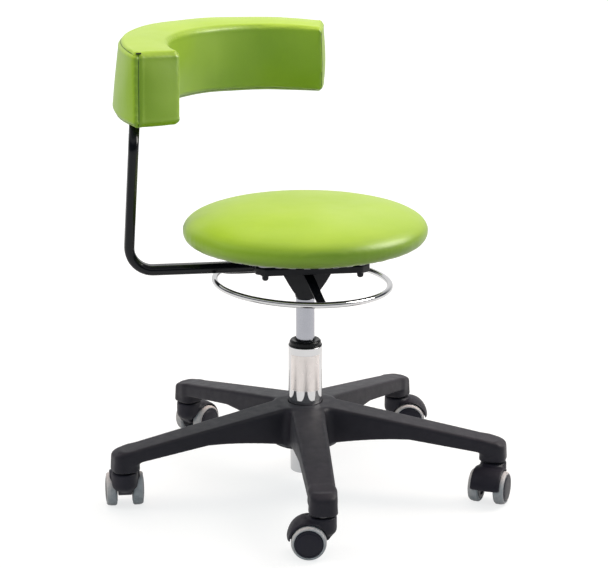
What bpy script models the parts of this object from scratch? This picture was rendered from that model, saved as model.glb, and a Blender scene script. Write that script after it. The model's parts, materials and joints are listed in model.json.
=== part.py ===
"""Dentist stool: five-arm base on twin-wheel castors, gas column with a release ring,
round turning seat and a C-shaped torso and arm support on an L-shaped bar.

Origin on the floor at the centre of the footprint, +Z up. The column axis stands at
COLUMN_AT; the support bar runs out along -X and the pad reaches round from -X to +Y.
Lengths are in millimetres, drawn from the column axis unless a section says otherwise,
and turned into metres by MM as objects are made. Angles are in degrees from +X."""

import math

import bmesh
import bpy
from mathutils import Matrix, Vector

for old in list(bpy.data.objects):
    bpy.data.objects.remove(old, do_unlink=True)

MM = 0.001
ORIGIN = (0, 0, 0)
GAP = 0.3  # running and assembly gap
COLUMN_AT = (7.7, -27.75, 0.0)

# ---- base
STEM_CIRCLE_R = 288.4
ARM_ANGLES = (-93.55, -21.55, 50.45, 122.45, 194.45)  # castors 1 to 5
BOSS_R, BOSS_LOW, BOSS_TOP = 20.6, 60.5, 92.7
HUB_TOP, HUB_LOW, HUB_R_TOP, HUB_R_LOW = 132.5, 68.5, 42.0, 51.0
ARM_STATIONS = (33.0, 48.0, 75.0, 110.0, 150.0, 190.0, 230.0, 262.0, STEM_CIRCLE_R - 5.0)
ARM_TOP_FULL_R = 36.0  # the arm's top is level inside this radius
ARCH_R, ARCH_Z = 165.0, 87.5  # where the slope under an arm meets the arch
ARCH_INNER_R, ARCH_DROP = 40.0, 14.0
TIP_SLOPE_R, TIP_SLOPE_Z = 262.0, 75.5  # a point on the slope near the tip
TIP_LEVEL_R = 270.0  # the lower edge is level beyond this radius
POCKET_SPANS = {"inner": (58.0, 150.0), "outer": (155.0, 258.0)}
POCKET_STEPS = 3
POCKET_ROOF = 5.5  # thickness left above a pocket

# ---- castors
TRAIL_ANGLES = (171.5, -119.8, -8.5, 42.1, 88.0)  # from the stem to the wheel centre
CASTOR_TRAIL = 20.0
STEM_R = 5.5
STEM_HOLE_R = STEM_R + 0.4
WHEEL_R = 25.0
WHEEL_SIDES = 18
WHEEL_Z = WHEEL_R * math.cos(math.pi / WHEEL_SIDES)  # a flat of the tread lies on the floor
WHEEL_IN, WHEEL_OUT = 11.0, 27.9  # inner and outer face from the castor's mid-plane
AXLE_R, AXLE_HALF = 3.0, 25.8
AXLE_HOLE_R = AXLE_R + 0.4
AXLE_CUT_HALF = 12.0
WEB_HALF = 10.3  # half thickness of the web between the wheels
CLEAR_R, CLEAR_OUT = 26.2, 40.0  # clearance round a wheel
FENDER_R_IN, FENDER_R_OUT, FENDER_HALF = 27.0, 30.4, 22.8

# ---- column
OUTER_R, OUTER_LOW, OUTER_TOP = 25.4, 21.4, 215.0
BUSH_TOP = 228.0
INNER_R, INNER_LOW, INNER_SHOULDER, INNER_TOP = 14.0, 100.0, 292.7, 321.0
ROD_R = 5.0

# ---- mechanism
PLATE_X, PLATE_HALF_X, PLATE_HALF_Y = 5.0, 85.0, 57.0  # the plate is centred at PLATE_X
PLATE_LOW, PLATE_SHEET_LOW, PLATE_TOP = 342.0, 351.0, 354.0
PLATE_WALL = 3.0
WING_TOP = PLATE_SHEET_LOW - GAP
WING_IN, WING_OUT = 13.5, 17.5  # faces of a wing plate, from the column axis along Y
BOLT_X, BOLT_Y = 70.5, 42.5  # from the plate's centre
BOLT_HOLE_R = 3.4

# ---- release ring
RING_R, RING_ROD_R, RING_Z = 130.5, 4.5, 317.0
RING_CENTRE = (-4.35, 0.65)
RING_SLOPE = (-0.0405, 0.0061)  # rise along X and Y; the ring hangs low on its +X side
RING_PIVOT = (26.0, 0.0, 334.0)
SPOKE_ANGLES = (-90.0, 30.0, 150.0)
SPOKE_HALF_WIDE, SPOKE_HALF_THICK, SPOKE_Z = 7.3, 1.3, 332.2

# ---- support bar
BAR_Z = 340.5
BAR_Y = 12.0
BAR_THICK, BAR_DEEP = 15.0, 24.0
BAR_END_X, BAR_MID_X = -44.0, -150.0
POST_X_LOW, POST_X_TOP, POST_TOP = -260.0, -246.0, 600.0
BAR_BEND_R = 35.0
BEND_STEPS = 8
OVAL_STEPS = 6  # steps round each end of the flat-oval section
POST_SLOT_EXTRA = 1.0  # the slot in the cushion is this much larger than the bar

# ---- pad
PAD_CENTRE = (1.0, 95.0)
PAD_LOW, PAD_TOP = 549.0, 654.5
PAD_HEIGHT = PAD_TOP - PAD_LOW
PAD_R_IN_TOP, PAD_R_OUT_TOP = 190.0, 265.0
PAD_R_IN_LOW, PAD_R_OUT_LOW = 198.0, 277.0
PAD_START_TOP, PAD_START_LOW = 199.5, 204.5  # angles of the -X end about PAD_CENTRE
PAD_END_TOP, PAD_END_LOW = 72.0, 72.3  # angles of the +Y end
PAD_SLOPE = (-0.0473, 0.0283)  # rise along X and Y
PAD_EDGE = 11.0
PAD_END_DRAW = 3.0  # each side of an end face is drawn in by this
PAD_STEPS = 20
BOARD_R, BOARD_THICK = 244.0, 7.0
BOARD_SLOT_GAP = 1.2

# ---- seat
SEAT_LOW = 377.4
CROWN_R, CROWN_Z, CROWN_DROP = 150.0, 431.5, 9.0
SHOULDER_WIDE, SHOULDER_HIGH, SHOULDER_Z = 33.0, 27.0, 395.0  # elliptical shoulder
SEAT_R = CROWN_R + SHOULDER_WIDE
BOARD_SEAT_LOW, BOARD_SEAT_TOP, BOARD_SEAT_R = 377.3, 389.3, 152.0


# ---------------------------------------------------------------- materials
def material(name, colour, roughness, metallic=0.0):
    made = bpy.data.materials.new(name)
    made.use_nodes = True
    shader = made.node_tree.nodes["Principled BSDF"]
    shader.inputs["Base Color"].default_value = (*colour, 1.0)
    shader.inputs["Roughness"].default_value = roughness
    shader.inputs["Metallic"].default_value = metallic
    made.diffuse_color = (*colour, 1.0)
    return made


VINYL = material("lime_vinyl", colour=(0.39, 0.58, 0.035), roughness=0.38)
NYLON = material("black_nylon", colour=(0.028, 0.028, 0.032), roughness=0.55)
CHROME = material("chrome", colour=(0.62, 0.62, 0.64), roughness=0.08, metallic=1.0)
SATIN = material("satin_steel", colour=(0.42, 0.42, 0.46), roughness=0.32, metallic=1.0)
STEEL = material("machined_steel", colour=(0.4, 0.4, 0.42), roughness=0.35, metallic=1.0)
GLOSS = material("gloss_black_paint", colour=(0.008, 0.008, 0.012), roughness=0.12)
SATIN_BLACK = material("satin_black_paint", colour=(0.012, 0.012, 0.015), roughness=0.35)
BUSHING = material("black_acetal", colour=(0.01, 0.01, 0.01), roughness=0.25)
TREAD = material("grey_tread", colour=(0.3, 0.31, 0.33), roughness=0.6)
WOOD = material("birch_plywood", colour=(0.5, 0.34, 0.18), roughness=0.6)


# ---------------------------------------------------------------- objects
def add_object(name, data, parent=None, place=ORIGIN, turn=0.0):
    """Any object at a place in its parent's frame, turned about Z."""
    made = bpy.data.objects.new(name, data)
    made.location = Vector(place) * MM
    made.rotation_euler = (0, 0, math.radians(turn))
    made.parent = parent
    bpy.context.scene.collection.objects.link(made)
    return made


def frame(name, parent=None, place=ORIGIN, turn=0.0):
    return add_object(name, None, parent, place, turn)


def body(name, bm, mat, parent=None, place=ORIGIN, sharp=35.0):
    """An object from a bmesh drawn in millimetres; sharp=None leaves it flat shaded."""
    bmesh.ops.scale(bm, vec=(MM, MM, MM), verts=bm.verts)
    bmesh.ops.recalc_face_normals(bm, faces=bm.faces)
    mesh = bpy.data.meshes.new(name)
    bm.to_mesh(mesh)
    bm.free()
    if sharp is not None:
        mesh.shade_smooth()
        mesh.set_sharp_from_angle(angle=math.radians(sharp))
    if mat is not None:
        mesh.materials.append(mat)
    return add_object(name, mesh, parent, place)


def hidden(made):
    made.hide_render = True
    made.display_type = "WIRE"
    return made


def tool(name, bm, parent=None, place=ORIGIN):
    """A hidden shape for a boolean."""
    return hidden(body(name, bm, None, parent, place))


def tool_copy(source, name, parent, place=ORIGIN, turn=0.0):
    return hidden(add_object(name, source.data, parent, place, turn))


def boolean(target, operation, shape):
    """The boolean stays live on the target."""
    modifier = target.modifiers.new(f"{operation.lower()}_{shape.name}", "BOOLEAN")
    modifier.operation = operation
    modifier.solver = "EXACT"
    modifier.object = shape


def join(target, shape):
    boolean(target, "UNION", shape)


def cut(target, shape):
    boolean(target, "DIFFERENCE", shape)


# ---------------------------------------------------------------- meshes
def turned(profile, sides, start=0.0, sweep=360.0, axis="Z"):
    """A turned body from (radius, height) points. A profile that starts on the axis also
    ends on it; any other is a closed ring section that stays off the axis."""
    bm = bmesh.new()
    full = sweep >= 360.0
    count = sides if full else sides + 1
    rings = []
    for i in range(count):
        angle = math.radians(start + sweep * i / sides)
        ring = []
        for j, (radius, z) in enumerate(profile):
            if radius == 0 and i:
                ring.append(rings[0][j])
            else:
                place = (radius * math.cos(angle), radius * math.sin(angle), z)
                ring.append(bm.verts.new(place))
        rings.append(ring)
    points = len(profile)
    spans = points if profile[0][0] > 0 else points - 1
    for i in range(sides):
        here, after = rings[i], rings[(i + 1) % count]
        for j in range(spans):
            k = (j + 1) % points
            # a point on the axis is shared, so its corners merge
            corners = list(dict.fromkeys((here[j], after[j], after[k], here[k])))
            if len(corners) > 2:
                bm.faces.new(corners)
    if not full:
        bm.faces.new(rings[0])
        bm.faces.new(list(reversed(rings[-1])))
    if axis == "Y":  # the profile's height runs along +Y
        quarter = Matrix.Rotation(math.radians(-90), 3, "X")
        bmesh.ops.rotate(bm, cent=ORIGIN, matrix=quarter, verts=bm.verts)
    return bm


def cylinder(radius, first, last, sides, axis="Z"):
    """A solid cylinder between two places on the axis."""
    return turned([(0, first), (radius, first), (radius, last), (0, last)], sides, axis=axis)


def loft(sections):
    """A closed body through equal-length section loops, capped at both ends."""
    bm = bmesh.new()
    loops = [[bm.verts.new(p) for p in section] for section in sections]
    count = len(loops[0])
    for here, after in zip(loops, loops[1:]):
        for j in range(count):
            k = (j + 1) % count
            bm.faces.new((here[j], here[k], after[k], after[j]))
    bm.faces.new(loops[0])
    bm.faces.new(list(reversed(loops[-1])))
    return bm


def prism(outline, low, high):
    """An (x, y) outline drawn up from low to high."""
    return loft([[(x, y, z) for x, y in outline] for z in (low, high)])


def upright(outline, y_first, y_last):
    """An (x, z) outline standing between two Y places."""
    return loft([[(x, y, z) for x, z in outline] for y in (y_first, y_last)])


def peg(radius, sides, low, high):
    """A many-sided upright prism, for round holes."""
    angles = [2 * math.pi * i / sides for i in range(sides)]
    return prism([(radius * math.cos(a), radius * math.sin(a)) for a in angles], low, high)


# ---------------------------------------------------------------- star base
# arms and pockets are drawn along +X
def stem_place(angle):
    angle = math.radians(angle)
    return (STEM_CIRCLE_R * math.cos(angle), STEM_CIRCLE_R * math.sin(angle), 0)


def arm_top(r):
    """Height of an arm's top face, falling almost evenly from the hub to the tip."""
    t = min(1.0, (STEM_CIRCLE_R - r) / (STEM_CIRCLE_R - ARM_TOP_FULL_R))
    return BOSS_TOP - 0.4 + (HUB_TOP - BOSS_TOP - 1.3) * t**0.97


def arm_low(r):
    """Height of an arm's lower edge: a slope up from the tip, then an arch down to the hub."""
    if r > ARCH_R:
        t = (TIP_SLOPE_R - min(r, TIP_LEVEL_R)) / (TIP_SLOPE_R - ARCH_R)
        return TIP_SLOPE_Z + (ARCH_Z - TIP_SLOPE_Z) * t
    t = (ARCH_R - r) / (ARCH_R - ARCH_INNER_R)
    return ARCH_Z - ARCH_DROP * min(1.0, t) ** 1.7


def symmetric_section(r, half):
    """A section at x = r from the (y, z) points of its +Y half, lowest first."""
    return [(r, -y, z) for y, z in half] + [(r, y, z) for y, z in reversed(half)]


def arm_mesh():
    sections = []
    for r in ARM_STATIONS:
        wide = 15.8 + 6.0 * (STEM_CIRCLE_R - r) / 250.0
        top = arm_top(r)
        half = [(wide + 5.3, arm_low(r)), (wide + 3.1, top - 3.3), (wide, top)]
        sections.append(symmetric_section(r, half))
    return loft(sections)


def pocket_mesh(r_first, r_last):
    """The hollow under an arm, open downwards."""
    sections = []
    for i in range(POCKET_STEPS + 1):
        r = r_first + (r_last - r_first) * i / POCKET_STEPS
        half = [(16.5, HUB_LOW - 12.0), (13.6, arm_top(r) - POCKET_ROOF)]
        sections.append(symmetric_section(r, half))
    return loft(sections)


def build_star_base(base):
    hub_profile = [
        (0, HUB_TOP), (HUB_R_TOP, HUB_TOP), (HUB_R_TOP + 3.5, 122.0),
        (HUB_R_LOW, 92.0), (HUB_R_LOW, HUB_LOW), (0, HUB_LOW),
    ]
    boss_profile = [
        (0, BOSS_TOP), (16.1, BOSS_TOP), (19.1, BOSS_TOP - 2.8),
        (BOSS_R, BOSS_TOP - 9), (BOSS_R, BOSS_LOW), (0, BOSS_LOW),
    ]
    star = body("star_base", turned(hub_profile, 32), NYLON, base, sharp=40.0)
    arm = tool("arm_shape", arm_mesh())
    boss = tool("boss_shape", turned(boss_profile, 24), place=(STEM_CIRCLE_R, 0, 0))
    for number, angle in enumerate(ARM_ANGLES, 1):
        join(star, tool_copy(arm, f"arm_shape_{number}", base, turn=angle))
        join(star, tool_copy(boss, f"boss_shape_{number}", base, stem_place(angle), angle))

    pockets = {
        word: tool(f"pocket_{word}", pocket_mesh(*span)) for word, span in POCKET_SPANS.items()
    }
    bore = cylinder(OUTER_R + 0.45, HUB_TOP + 5, HUB_LOW - 15, 28)
    cut(star, tool("column_cut", bore, base))
    stem_cut = tool("stem_cut", peg(STEM_HOLE_R, 12, BOSS_LOW - 5, 82.0))
    for number, angle in enumerate(ARM_ANGLES, 1):
        for word, pocket in pockets.items():
            cut(star, tool_copy(pocket, f"pocket_{word}_{number}", base, turn=angle))
        cut(star, tool_copy(stem_cut, f"stem_cut_{number}", base, stem_place(angle), angle))


# ---------------------------------------------------------------- castors
# in a swivel's frame the stem is on the Z axis and the wheels trail along +X
WEB_OUTLINE = [  # x from the axle, z from the floor
    (-34.5, 34.0), (-28.0, 24.0), (-10.0, 19.2), (7.0, 19.5), (12.5, 28.0),
    (20.0, 41.0), (4.0, 50.5), (-20.0, 51.0), (-34.0, 45.0),
]
# radius, axial place from the castor's mid-plane
WHEEL_HUB_PROFILE = [
    (0, WHEEL_OUT), (17.5, WHEEL_OUT), (20.3, WHEEL_OUT - 1.8), (20.3, WHEEL_IN),
    (AXLE_HOLE_R, WHEEL_IN), (AXLE_HOLE_R, 26.2), (0, 26.2),
]
TREAD_PROFILE = [
    (20.65, WHEEL_IN + 0.6), (23.2, WHEEL_IN + 0.6), (WHEEL_R, WHEEL_IN + 2.8),
    (WHEEL_R, WHEEL_OUT - 4.2), (20.65, WHEEL_OUT - 1.2),
]


def wheel_mesh(profile, side):
    """Hub disc or tread for the +Y (side = 1) or -Y (side = -1) wheel."""
    start = -90.0 + 180.0 / WHEEL_SIDES  # puts a flat of the tread at the bottom
    bm = turned(profile, WHEEL_SIDES, start=start, axis="Y")
    bmesh.ops.scale(bm, vec=(1, side, 1), verts=bm.verts)
    return bm


def collar_mesh():
    """The round part of the hood, about the stem."""
    profile = [(0, 57.6), (17.2, 57.6), (19.0, 56.0), (19.6, 51.0), (19.6, 31.5), (0, 31.5)]
    return turned(profile, 16)


def fender_mesh():
    """An arc over the wheels, from just past the top down towards +X."""
    profile = [
        (FENDER_R_IN, -FENDER_HALF), (FENDER_R_OUT, -FENDER_HALF),
        (FENDER_R_OUT, FENDER_HALF), (FENDER_R_IN, FENDER_HALF),
    ]
    return turned(profile, 10, start=-104.0, sweep=92.0, axis="Y")


def castor_tools():
    """The hidden shapes that all castors copy."""
    tool("hood_source", collar_mesh())
    axle_cut = cylinder(AXLE_HOLE_R, -AXLE_CUT_HALF, AXLE_CUT_HALF, 10, axis="Y")
    return {
        "fender": tool("fender_source", fender_mesh()),
        "web": tool("web_source", upright(WEB_OUTLINE, -WEB_HALF, WEB_HALF)),
        "clear": tool("clear_source", cylinder(CLEAR_R, WEB_HALF, CLEAR_OUT, 20, axis="Y")),
        "axle_cut": tool("axle_cut_source", axle_cut),
    }


def build_hood(name, swivel, axle_at, tools):
    """Collar, fender and web, cleared for the wheels, the axle and the stem."""
    hood = body(f"{name}_hood", collar_mesh(), NYLON, swivel)
    join(hood, tool_copy(tools["fender"], f"{name}_fender_shape", swivel, axle_at))
    for word, turn in (("left", 0), ("right", 180)):
        cut(hood, tool_copy(tools["clear"], f"{name}_clear_{word}", swivel, axle_at, turn))
    web_at = (CASTOR_TRAIL, 0, 0)
    join(hood, tool_copy(tools["web"], f"{name}_web_shape", swivel, web_at))
    cut(hood, tool_copy(tools["axle_cut"], f"{name}_axle_cut", swivel, axle_at))
    cut(hood, tool(f"{name}_stem_cut", peg(STEM_HOLE_R, 12, 34.5, 64.0), swivel))


def build_castor(name, arm_angle, trail_angle, base, tools):
    stem_at = stem_place(arm_angle)
    stem_profile = [
        (0, 80.0), (STEM_R, 80.0), (STEM_R, 60.2), (13.5, 60.2),
        (13.5, 58.1), (STEM_R, 58.1), (STEM_R, 36.0), (0, 36.0),
    ]
    body(f"{name}_stem", turned(stem_profile, 12), STEEL, base, stem_at)
    swivel = frame(f"{name}_swivel", base, stem_at, trail_angle)
    axle_at = (CASTOR_TRAIL, 0, WHEEL_Z)
    build_hood(name, swivel, axle_at, tools)
    axle = cylinder(AXLE_R, -AXLE_HALF, AXLE_HALF, 10, axis="Y")
    body(f"{name}_axle", axle, STEEL, swivel, axle_at)
    for side, word in ((1, "left"), (-1, "right")):
        for part, profile, mat in (
            ("hub", WHEEL_HUB_PROFILE, NYLON),
            ("tyre", TREAD_PROFILE, TREAD),
        ):
            mesh = wheel_mesh(profile, side)
            body(f"{name}_{part}_{word}", mesh, mat, swivel, axle_at, sharp=50.0)


# ---------------------------------------------------------------- column
def build_column_base(base):
    """The parts fixed in the base; profiles are radius, height."""
    tube = [
        (OUTER_R, OUTER_TOP), (OUTER_R, 44.0), (23.4, OUTER_LOW), (6.0, OUTER_LOW),
        (6.0, OUTER_LOW + 3), (22.0, OUTER_LOW + 3), (23.9, 46.0), (23.9, OUTER_TOP),
    ]
    bush = [
        (14.45, BUSH_TOP - 0.8), (14.45, 150.0), (23.5, 150.0), (23.5, OUTER_TOP + GAP),
        (25.2, OUTER_TOP + GAP), (25.4, 219.5), (22.8, 223.0), (20.2, 225.5),
        (18.6, BUSH_TOP), (15.2, BUSH_TOP),
    ]
    low, high = OUTER_LOW + 3.3, OUTER_LOW + 8.5
    bearing = [(5.6, low), (12.0, low), (12.0, high), (5.6, high)]
    body("column_outer_tube", turned(tube, 28), CHROME, base)
    body("guide_bush", turned(bush, 24), BUSHING, base)
    body("thrust_bearing", turned(bearing, 20), STEEL, base)


def build_rod(spindle):
    """Piston rod and the open clip in the groove near its foot."""
    rod = [
        (0, 223.0), (4.0, 223.0), (11.9, 221.0), (11.9, 210.0), (ROD_R, 208.0),
        (ROD_R, 20.4), (3.4, 20.2), (3.4, 18.2), (ROD_R, 18.0), (ROD_R - 0.8, 15.5), (0, 15.5),
    ]
    clip = [(3.85, 18.6), (8.2, 18.6), (8.2, 19.8), (3.85, 19.8)]
    body("piston_rod", turned(rod, 16), STEEL, spindle)
    body("retaining_clip", turned(clip, 12, start=25.0, sweep=310.0), STEEL, spindle)


def build_pressure_tube(lift):
    profile = [
        (3.3, INNER_TOP), (3.3, 314.5), (9.8, 314.5), (9.8, 290.0), (12.4, 287.0),
        (12.4, INNER_LOW), (13.4, INNER_LOW), (INNER_R, INNER_LOW + 1.5),
        (INNER_R, INNER_SHOULDER), (12.5, INNER_SHOULDER + 0.2), (11.8, INNER_TOP),
    ]
    body("pressure_tube", turned(profile, 24), SATIN, lift)


# ---------------------------------------------------------------- mechanism
# outlines of the two wing plates: x, z
WING_FRONT = [  # on the -Y side, notched from above
    (-12.5, 296.0), (12.5, 296.0), (28.0, 316.0), (40.5, 334.0), (40.5, WING_TOP),
    (10.0, WING_TOP), (10.0, 327.5), (-10.0, 327.5), (-10.0, WING_TOP),
    (-36.5, WING_TOP), (-36.5, 334.0), (-27.0, 318.0),
]
WING_BACK = [  # on the +Y side, with a narrow neck up to the plate
    (-12.5, 296.0), (12.5, 296.0), (27.0, 318.0), (27.0, 322.5), (7.3, 322.5),
    (7.3, WING_TOP), (-7.3, WING_TOP), (-7.3, 322.5), (-27.0, 322.5), (-27.0, 318.0),
]


def build_socket(lift):
    """Taper socket with the two wing plates that reach up to the seat plate."""
    profile = [(12.95, 322.0), (12.95, 293.2), (14.4, 293.2), (17.2, 306.0), (17.2, 322.0)]
    socket = body("taper_socket", turned(profile, 24), SATIN_BLACK, lift)
    join(socket, tool("wing_front_shape", upright(WING_FRONT, -WING_OUT, -WING_IN), lift))
    join(socket, tool("wing_back_shape", upright(WING_BACK, WING_IN, WING_OUT), lift))


def chamfered(half_x, half_y, chamfer):
    """A rectangle about the plate's centre with its corners cut off."""
    x_in, y_in = half_x - chamfer, half_y - chamfer
    points = [
        (-x_in, -half_y), (x_in, -half_y), (half_x, -y_in), (half_x, y_in),
        (x_in, half_y), (-x_in, half_y), (-half_x, y_in), (-half_x, -y_in),
    ]
    return [(PLATE_X + x, y) for x, y in points]


def bar_box(x_low, x_high, half_y, z_low, z_high):
    """A box centred across the support bar."""
    low, high = BAR_Y - half_y, BAR_Y + half_y
    return prism([(x_low, low), (x_high, low), (x_high, high), (x_low, high)], z_low, z_high)


def build_seat_plate(lift):
    """A tray open downwards, with a notch and a saddle for the bar."""
    outline = chamfered(PLATE_HALF_X, PLATE_HALF_Y, 14.0)
    plate = body(
        "seat_plate", prism(outline, PLATE_LOW, PLATE_TOP), SATIN_BLACK, lift, sharp=None
    )
    tray = chamfered(PLATE_HALF_X - PLATE_WALL, PLATE_HALF_Y - PLATE_WALL, 12.8)
    cut(plate, tool("plate_tray_cut", prism(tray, PLATE_LOW - 5, PLATE_SHEET_LOW), lift))
    notch = bar_box(
        -95.0, BAR_END_X - 30.0, BAR_DEEP / 2 + 1.2, 330.0, PLATE_SHEET_LOW - 1.0
    )
    cut(plate, tool("plate_bar_cut", notch, lift))
    saddle_low = BAR_Z + BAR_THICK / 2 + GAP
    saddle = bar_box(-78.0, BAR_END_X - 3.0, 8.0, saddle_low, PLATE_SHEET_LOW + 1.0)
    join(plate, tool("bar_saddle_shape", saddle, lift))
    return plate


def build_turntable_lower(lift):
    outline = chamfered(82.0, 55.0, 12.0)
    race = [(68.0, 355.2), (68.0, 361.4), (60.0, 363.9), (52.0, 363.9), (52.0, 355.2)]
    sheet = prism(outline, PLATE_TOP + GAP, PLATE_TOP + 2.3)
    lower = body("turntable_lower", sheet, STEEL, lift, sharp=None)
    join(lower, tool("race_lower_shape", turned(race, 24), lift))
    cut(lower, tool("lower_centre_cut", peg(40.0, 24, 350.0, 366.0), lift))
    return lower


def build_bolts(plate, lower, lift):
    """Four bolts with their nuts, and their holes through the plate and the turntable."""
    profile = [
        (0, 360.2), (3.5, 360.2), (5.4, 358.6), (5.4, 356.7), (3.0, 356.7), (3.0, 350.6),
        (6.6, 350.6), (6.6, 349.0), (5.4, 348.8), (5.4, 338.0), (3.5, 337.2), (3.1, 333.4),
        (0, 332.2),
    ]
    for number, (side_x, side_y) in enumerate(((-1, -1), (1, -1), (1, 1), (-1, 1)), 1):
        at = (PLATE_X + side_x * BOLT_X, side_y * BOLT_Y, 0)
        for target, label in ((plate, "plate"), (lower, "lower")):
            hole = peg(BOLT_HOLE_R, 10, 346.0, 362.0)
            cut(target, tool(f"bolt_hole_{label}_{number}", hole, lift, at))
        body(f"plate_bolt_{number}", turned(profile, 8), SATIN_BLACK, lift, at)


# ---------------------------------------------------------------- support bar
def oval(thick, deep):
    """Flat-oval section: points (across the thickness, along the depth)."""
    radius, straight = thick / 2, (deep - thick) / 2
    points = []
    for end in (1, -1):
        for i in range(OVAL_STEPS + 1):
            angle = math.radians(-90 * end + 180 * i / OVAL_STEPS)
            points.append((radius * math.sin(angle), end * straight + radius * math.cos(angle)))
    return points


def bar_path():
    """Centre points and tangents in the XZ plane, from the plate out and up the post."""
    bend_top = BAR_Z + BAR_BEND_R
    lean = math.atan2(POST_X_TOP - POST_X_LOW, POST_TOP - bend_top)
    post_at_bar = POST_X_LOW - math.tan(lean) * BAR_BEND_R
    bend = math.pi / 2 + lean  # how far the direction turns, from -X round to the post
    centre_x = post_at_bar + BAR_BEND_R * math.tan(bend / 2)
    path = [((x, BAR_Z), (-1.0, 0.0)) for x in (BAR_END_X, BAR_MID_X)]
    for i in range(BEND_STEPS + 1):
        angle = bend * i / BEND_STEPS
        sine, cosine = math.sin(angle), math.cos(angle)
        point = (centre_x - BAR_BEND_R * sine, bend_top - BAR_BEND_R * cosine)
        path.append((point, (-cosine, sine)))
    post = (math.sin(lean), math.cos(lean))
    x, z = path[-1][0]
    run = (POST_TOP - z) / post[1]
    path.append(((x + post[0] * run, POST_TOP), post))
    return path


def bar_sections(thick, deep):
    section = oval(thick, deep)
    return [
        [(x - along_z * u, BAR_Y + v, z + along_x * u) for u, v in section]
        for (x, z), (along_x, along_z) in bar_path()
    ]


def build_bar(lift):
    body("support_bar", loft(bar_sections(BAR_THICK, BAR_DEEP)), GLOSS, lift, sharp=50.0)


# ---------------------------------------------------------------- pad
def pad_point(r_top, r_low, s, t):
    """s runs from the -X end to the +Y end, t from the bottom (0) to the top (1)."""
    r = r_low + (r_top - r_low) * t
    first = PAD_START_LOW + (PAD_START_TOP - PAD_START_LOW) * t
    last = PAD_END_LOW + (PAD_END_TOP - PAD_END_LOW) * t
    angle = math.radians(first + (last - first) * s)
    x, y = r * math.cos(angle), r * math.sin(angle)
    z = PAD_LOW + PAD_HEIGHT * t + PAD_SLOPE[0] * x + PAD_SLOPE[1] * y
    return (PAD_CENTRE[0] + x, PAD_CENTRE[1] + y, z)


def cushion_mesh():
    """C-shaped body with bevelled long edges."""
    edge = PAD_EDGE / PAD_HEIGHT
    # inset from the side face, height t
    side = [(PAD_EDGE, edge * 0.05), (0.0, edge), (0.0, 1.0 - edge), (PAD_EDGE, 1.0)]
    sections = []
    for i in range(PAD_STEPS + 1):
        s = i / PAD_STEPS
        draw = PAD_END_DRAW if i in (0, PAD_STEPS) else 0.0
        section = []
        for inset, t in side:
            inset += draw
            section.append(pad_point(PAD_R_IN_TOP + inset, PAD_R_IN_LOW + inset, s, t))
        for inset, t in reversed(side):
            inset += draw
            section.append(pad_point(PAD_R_OUT_TOP - inset, PAD_R_OUT_LOW - inset, s, t))
        sections.append(section)
    return loft(sections)


def board_mesh(r, thick, low, high, s_first, s_last):
    """The curved board, or the slot for it: a band between two heights above PAD_LOW."""
    corners = ((r, low), (r, high), (r + thick, high), (r + thick, low))
    sections = []
    for i in range(PAD_STEPS + 1):
        s = s_first + (s_last - s_first) * i / PAD_STEPS
        sections.append([pad_point(at, at, s, height / PAD_HEIGHT) for at, height in corners])
    return loft(sections)


def build_pad(lift):
    """Cushion, slotted from below for the board and the post, and the board."""
    cushion = body("pad_cushion", cushion_mesh(), VINYL, lift, sharp=50.0)
    slot_r, slot_thick = BOARD_R - BOARD_SLOT_GAP, BOARD_THICK + 2 * BOARD_SLOT_GAP
    slot = board_mesh(slot_r, slot_thick, low=-15.0, high=93.0, s_first=0.026, s_last=0.954)
    cut(cushion, tool("board_slot", slot, lift))
    post = bar_sections(BAR_THICK + POST_SLOT_EXTRA, BAR_DEEP + POST_SLOT_EXTRA)[-2:]
    cut(cushion, tool("post_slot", loft(post), lift))
    board = board_mesh(BOARD_R, BOARD_THICK, low=6.0, high=92.0, s_first=0.032, s_last=0.948)
    body("pad_board", board, WOOD, lift, sharp=50.0)


# ---------------------------------------------------------------- seat
def seat_profile():
    """From the crown down the outside, under the skirt and up into the board's recess."""
    points = [(0.0, CROWN_Z)]
    for i in range(1, 6):  # shallow crown
        t = i / 5.0
        points.append((CROWN_R * t, CROWN_Z - CROWN_DROP * t**2.6))
    for i in range(1, 5):  # shoulder
        angle = math.radians(98 - 20 * i)
        x = CROWN_R + SHOULDER_WIDE * math.cos(angle)
        points.append((x, SHOULDER_Z + SHOULDER_HIGH * math.sin(angle)))
    points += [(SEAT_R, 391.5), (180.5, 384.5), (174.5, 380.2), (166.0, SEAT_LOW + 0.6)]
    recess_r, recess_top = BOARD_SEAT_R + 0.7, BOARD_SEAT_TOP + GAP
    return points + [(recess_r, SEAT_LOW), (recess_r, recess_top), (0.0, recess_top)]


def build_seat(seat):
    turntable = [
        (72.0, 364.8), (74.0, 373.5), (88.0, 374.3), (88.0, 376.9),
        (44.0, 376.9), (44.0, 373.5), (50.0, 364.8),
    ]
    body("turntable_upper", turned(turntable, 24), STEEL, seat)
    board = cylinder(BOARD_SEAT_R, BOARD_SEAT_TOP, BOARD_SEAT_LOW, 36)
    body("seat_board", board, WOOD, seat)
    body("seat_cushion", turned(seat_profile(), 36), VINYL, seat, sharp=60.0)


# ---------------------------------------------------------------- release ring
def ring_z(x, y):
    """Height of the tilted ring's mid-plane."""
    rise = RING_SLOPE[0] * (x - RING_CENTRE[0]) + RING_SLOPE[1] * (y - RING_CENTRE[1])
    return RING_Z + rise


def ring_mesh(around=40, section=8):
    angles = [2 * math.pi * i / section for i in range(section)]
    profile = [(RING_R + RING_ROD_R * math.cos(a), RING_ROD_R * math.sin(a)) for a in angles]
    bm = turned(profile, around)
    for vert in bm.verts:
        vert.co.x += RING_CENTRE[0]
        vert.co.y += RING_CENTRE[1]
        vert.co.z += ring_z(vert.co.x, vert.co.y)
    return bm


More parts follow.
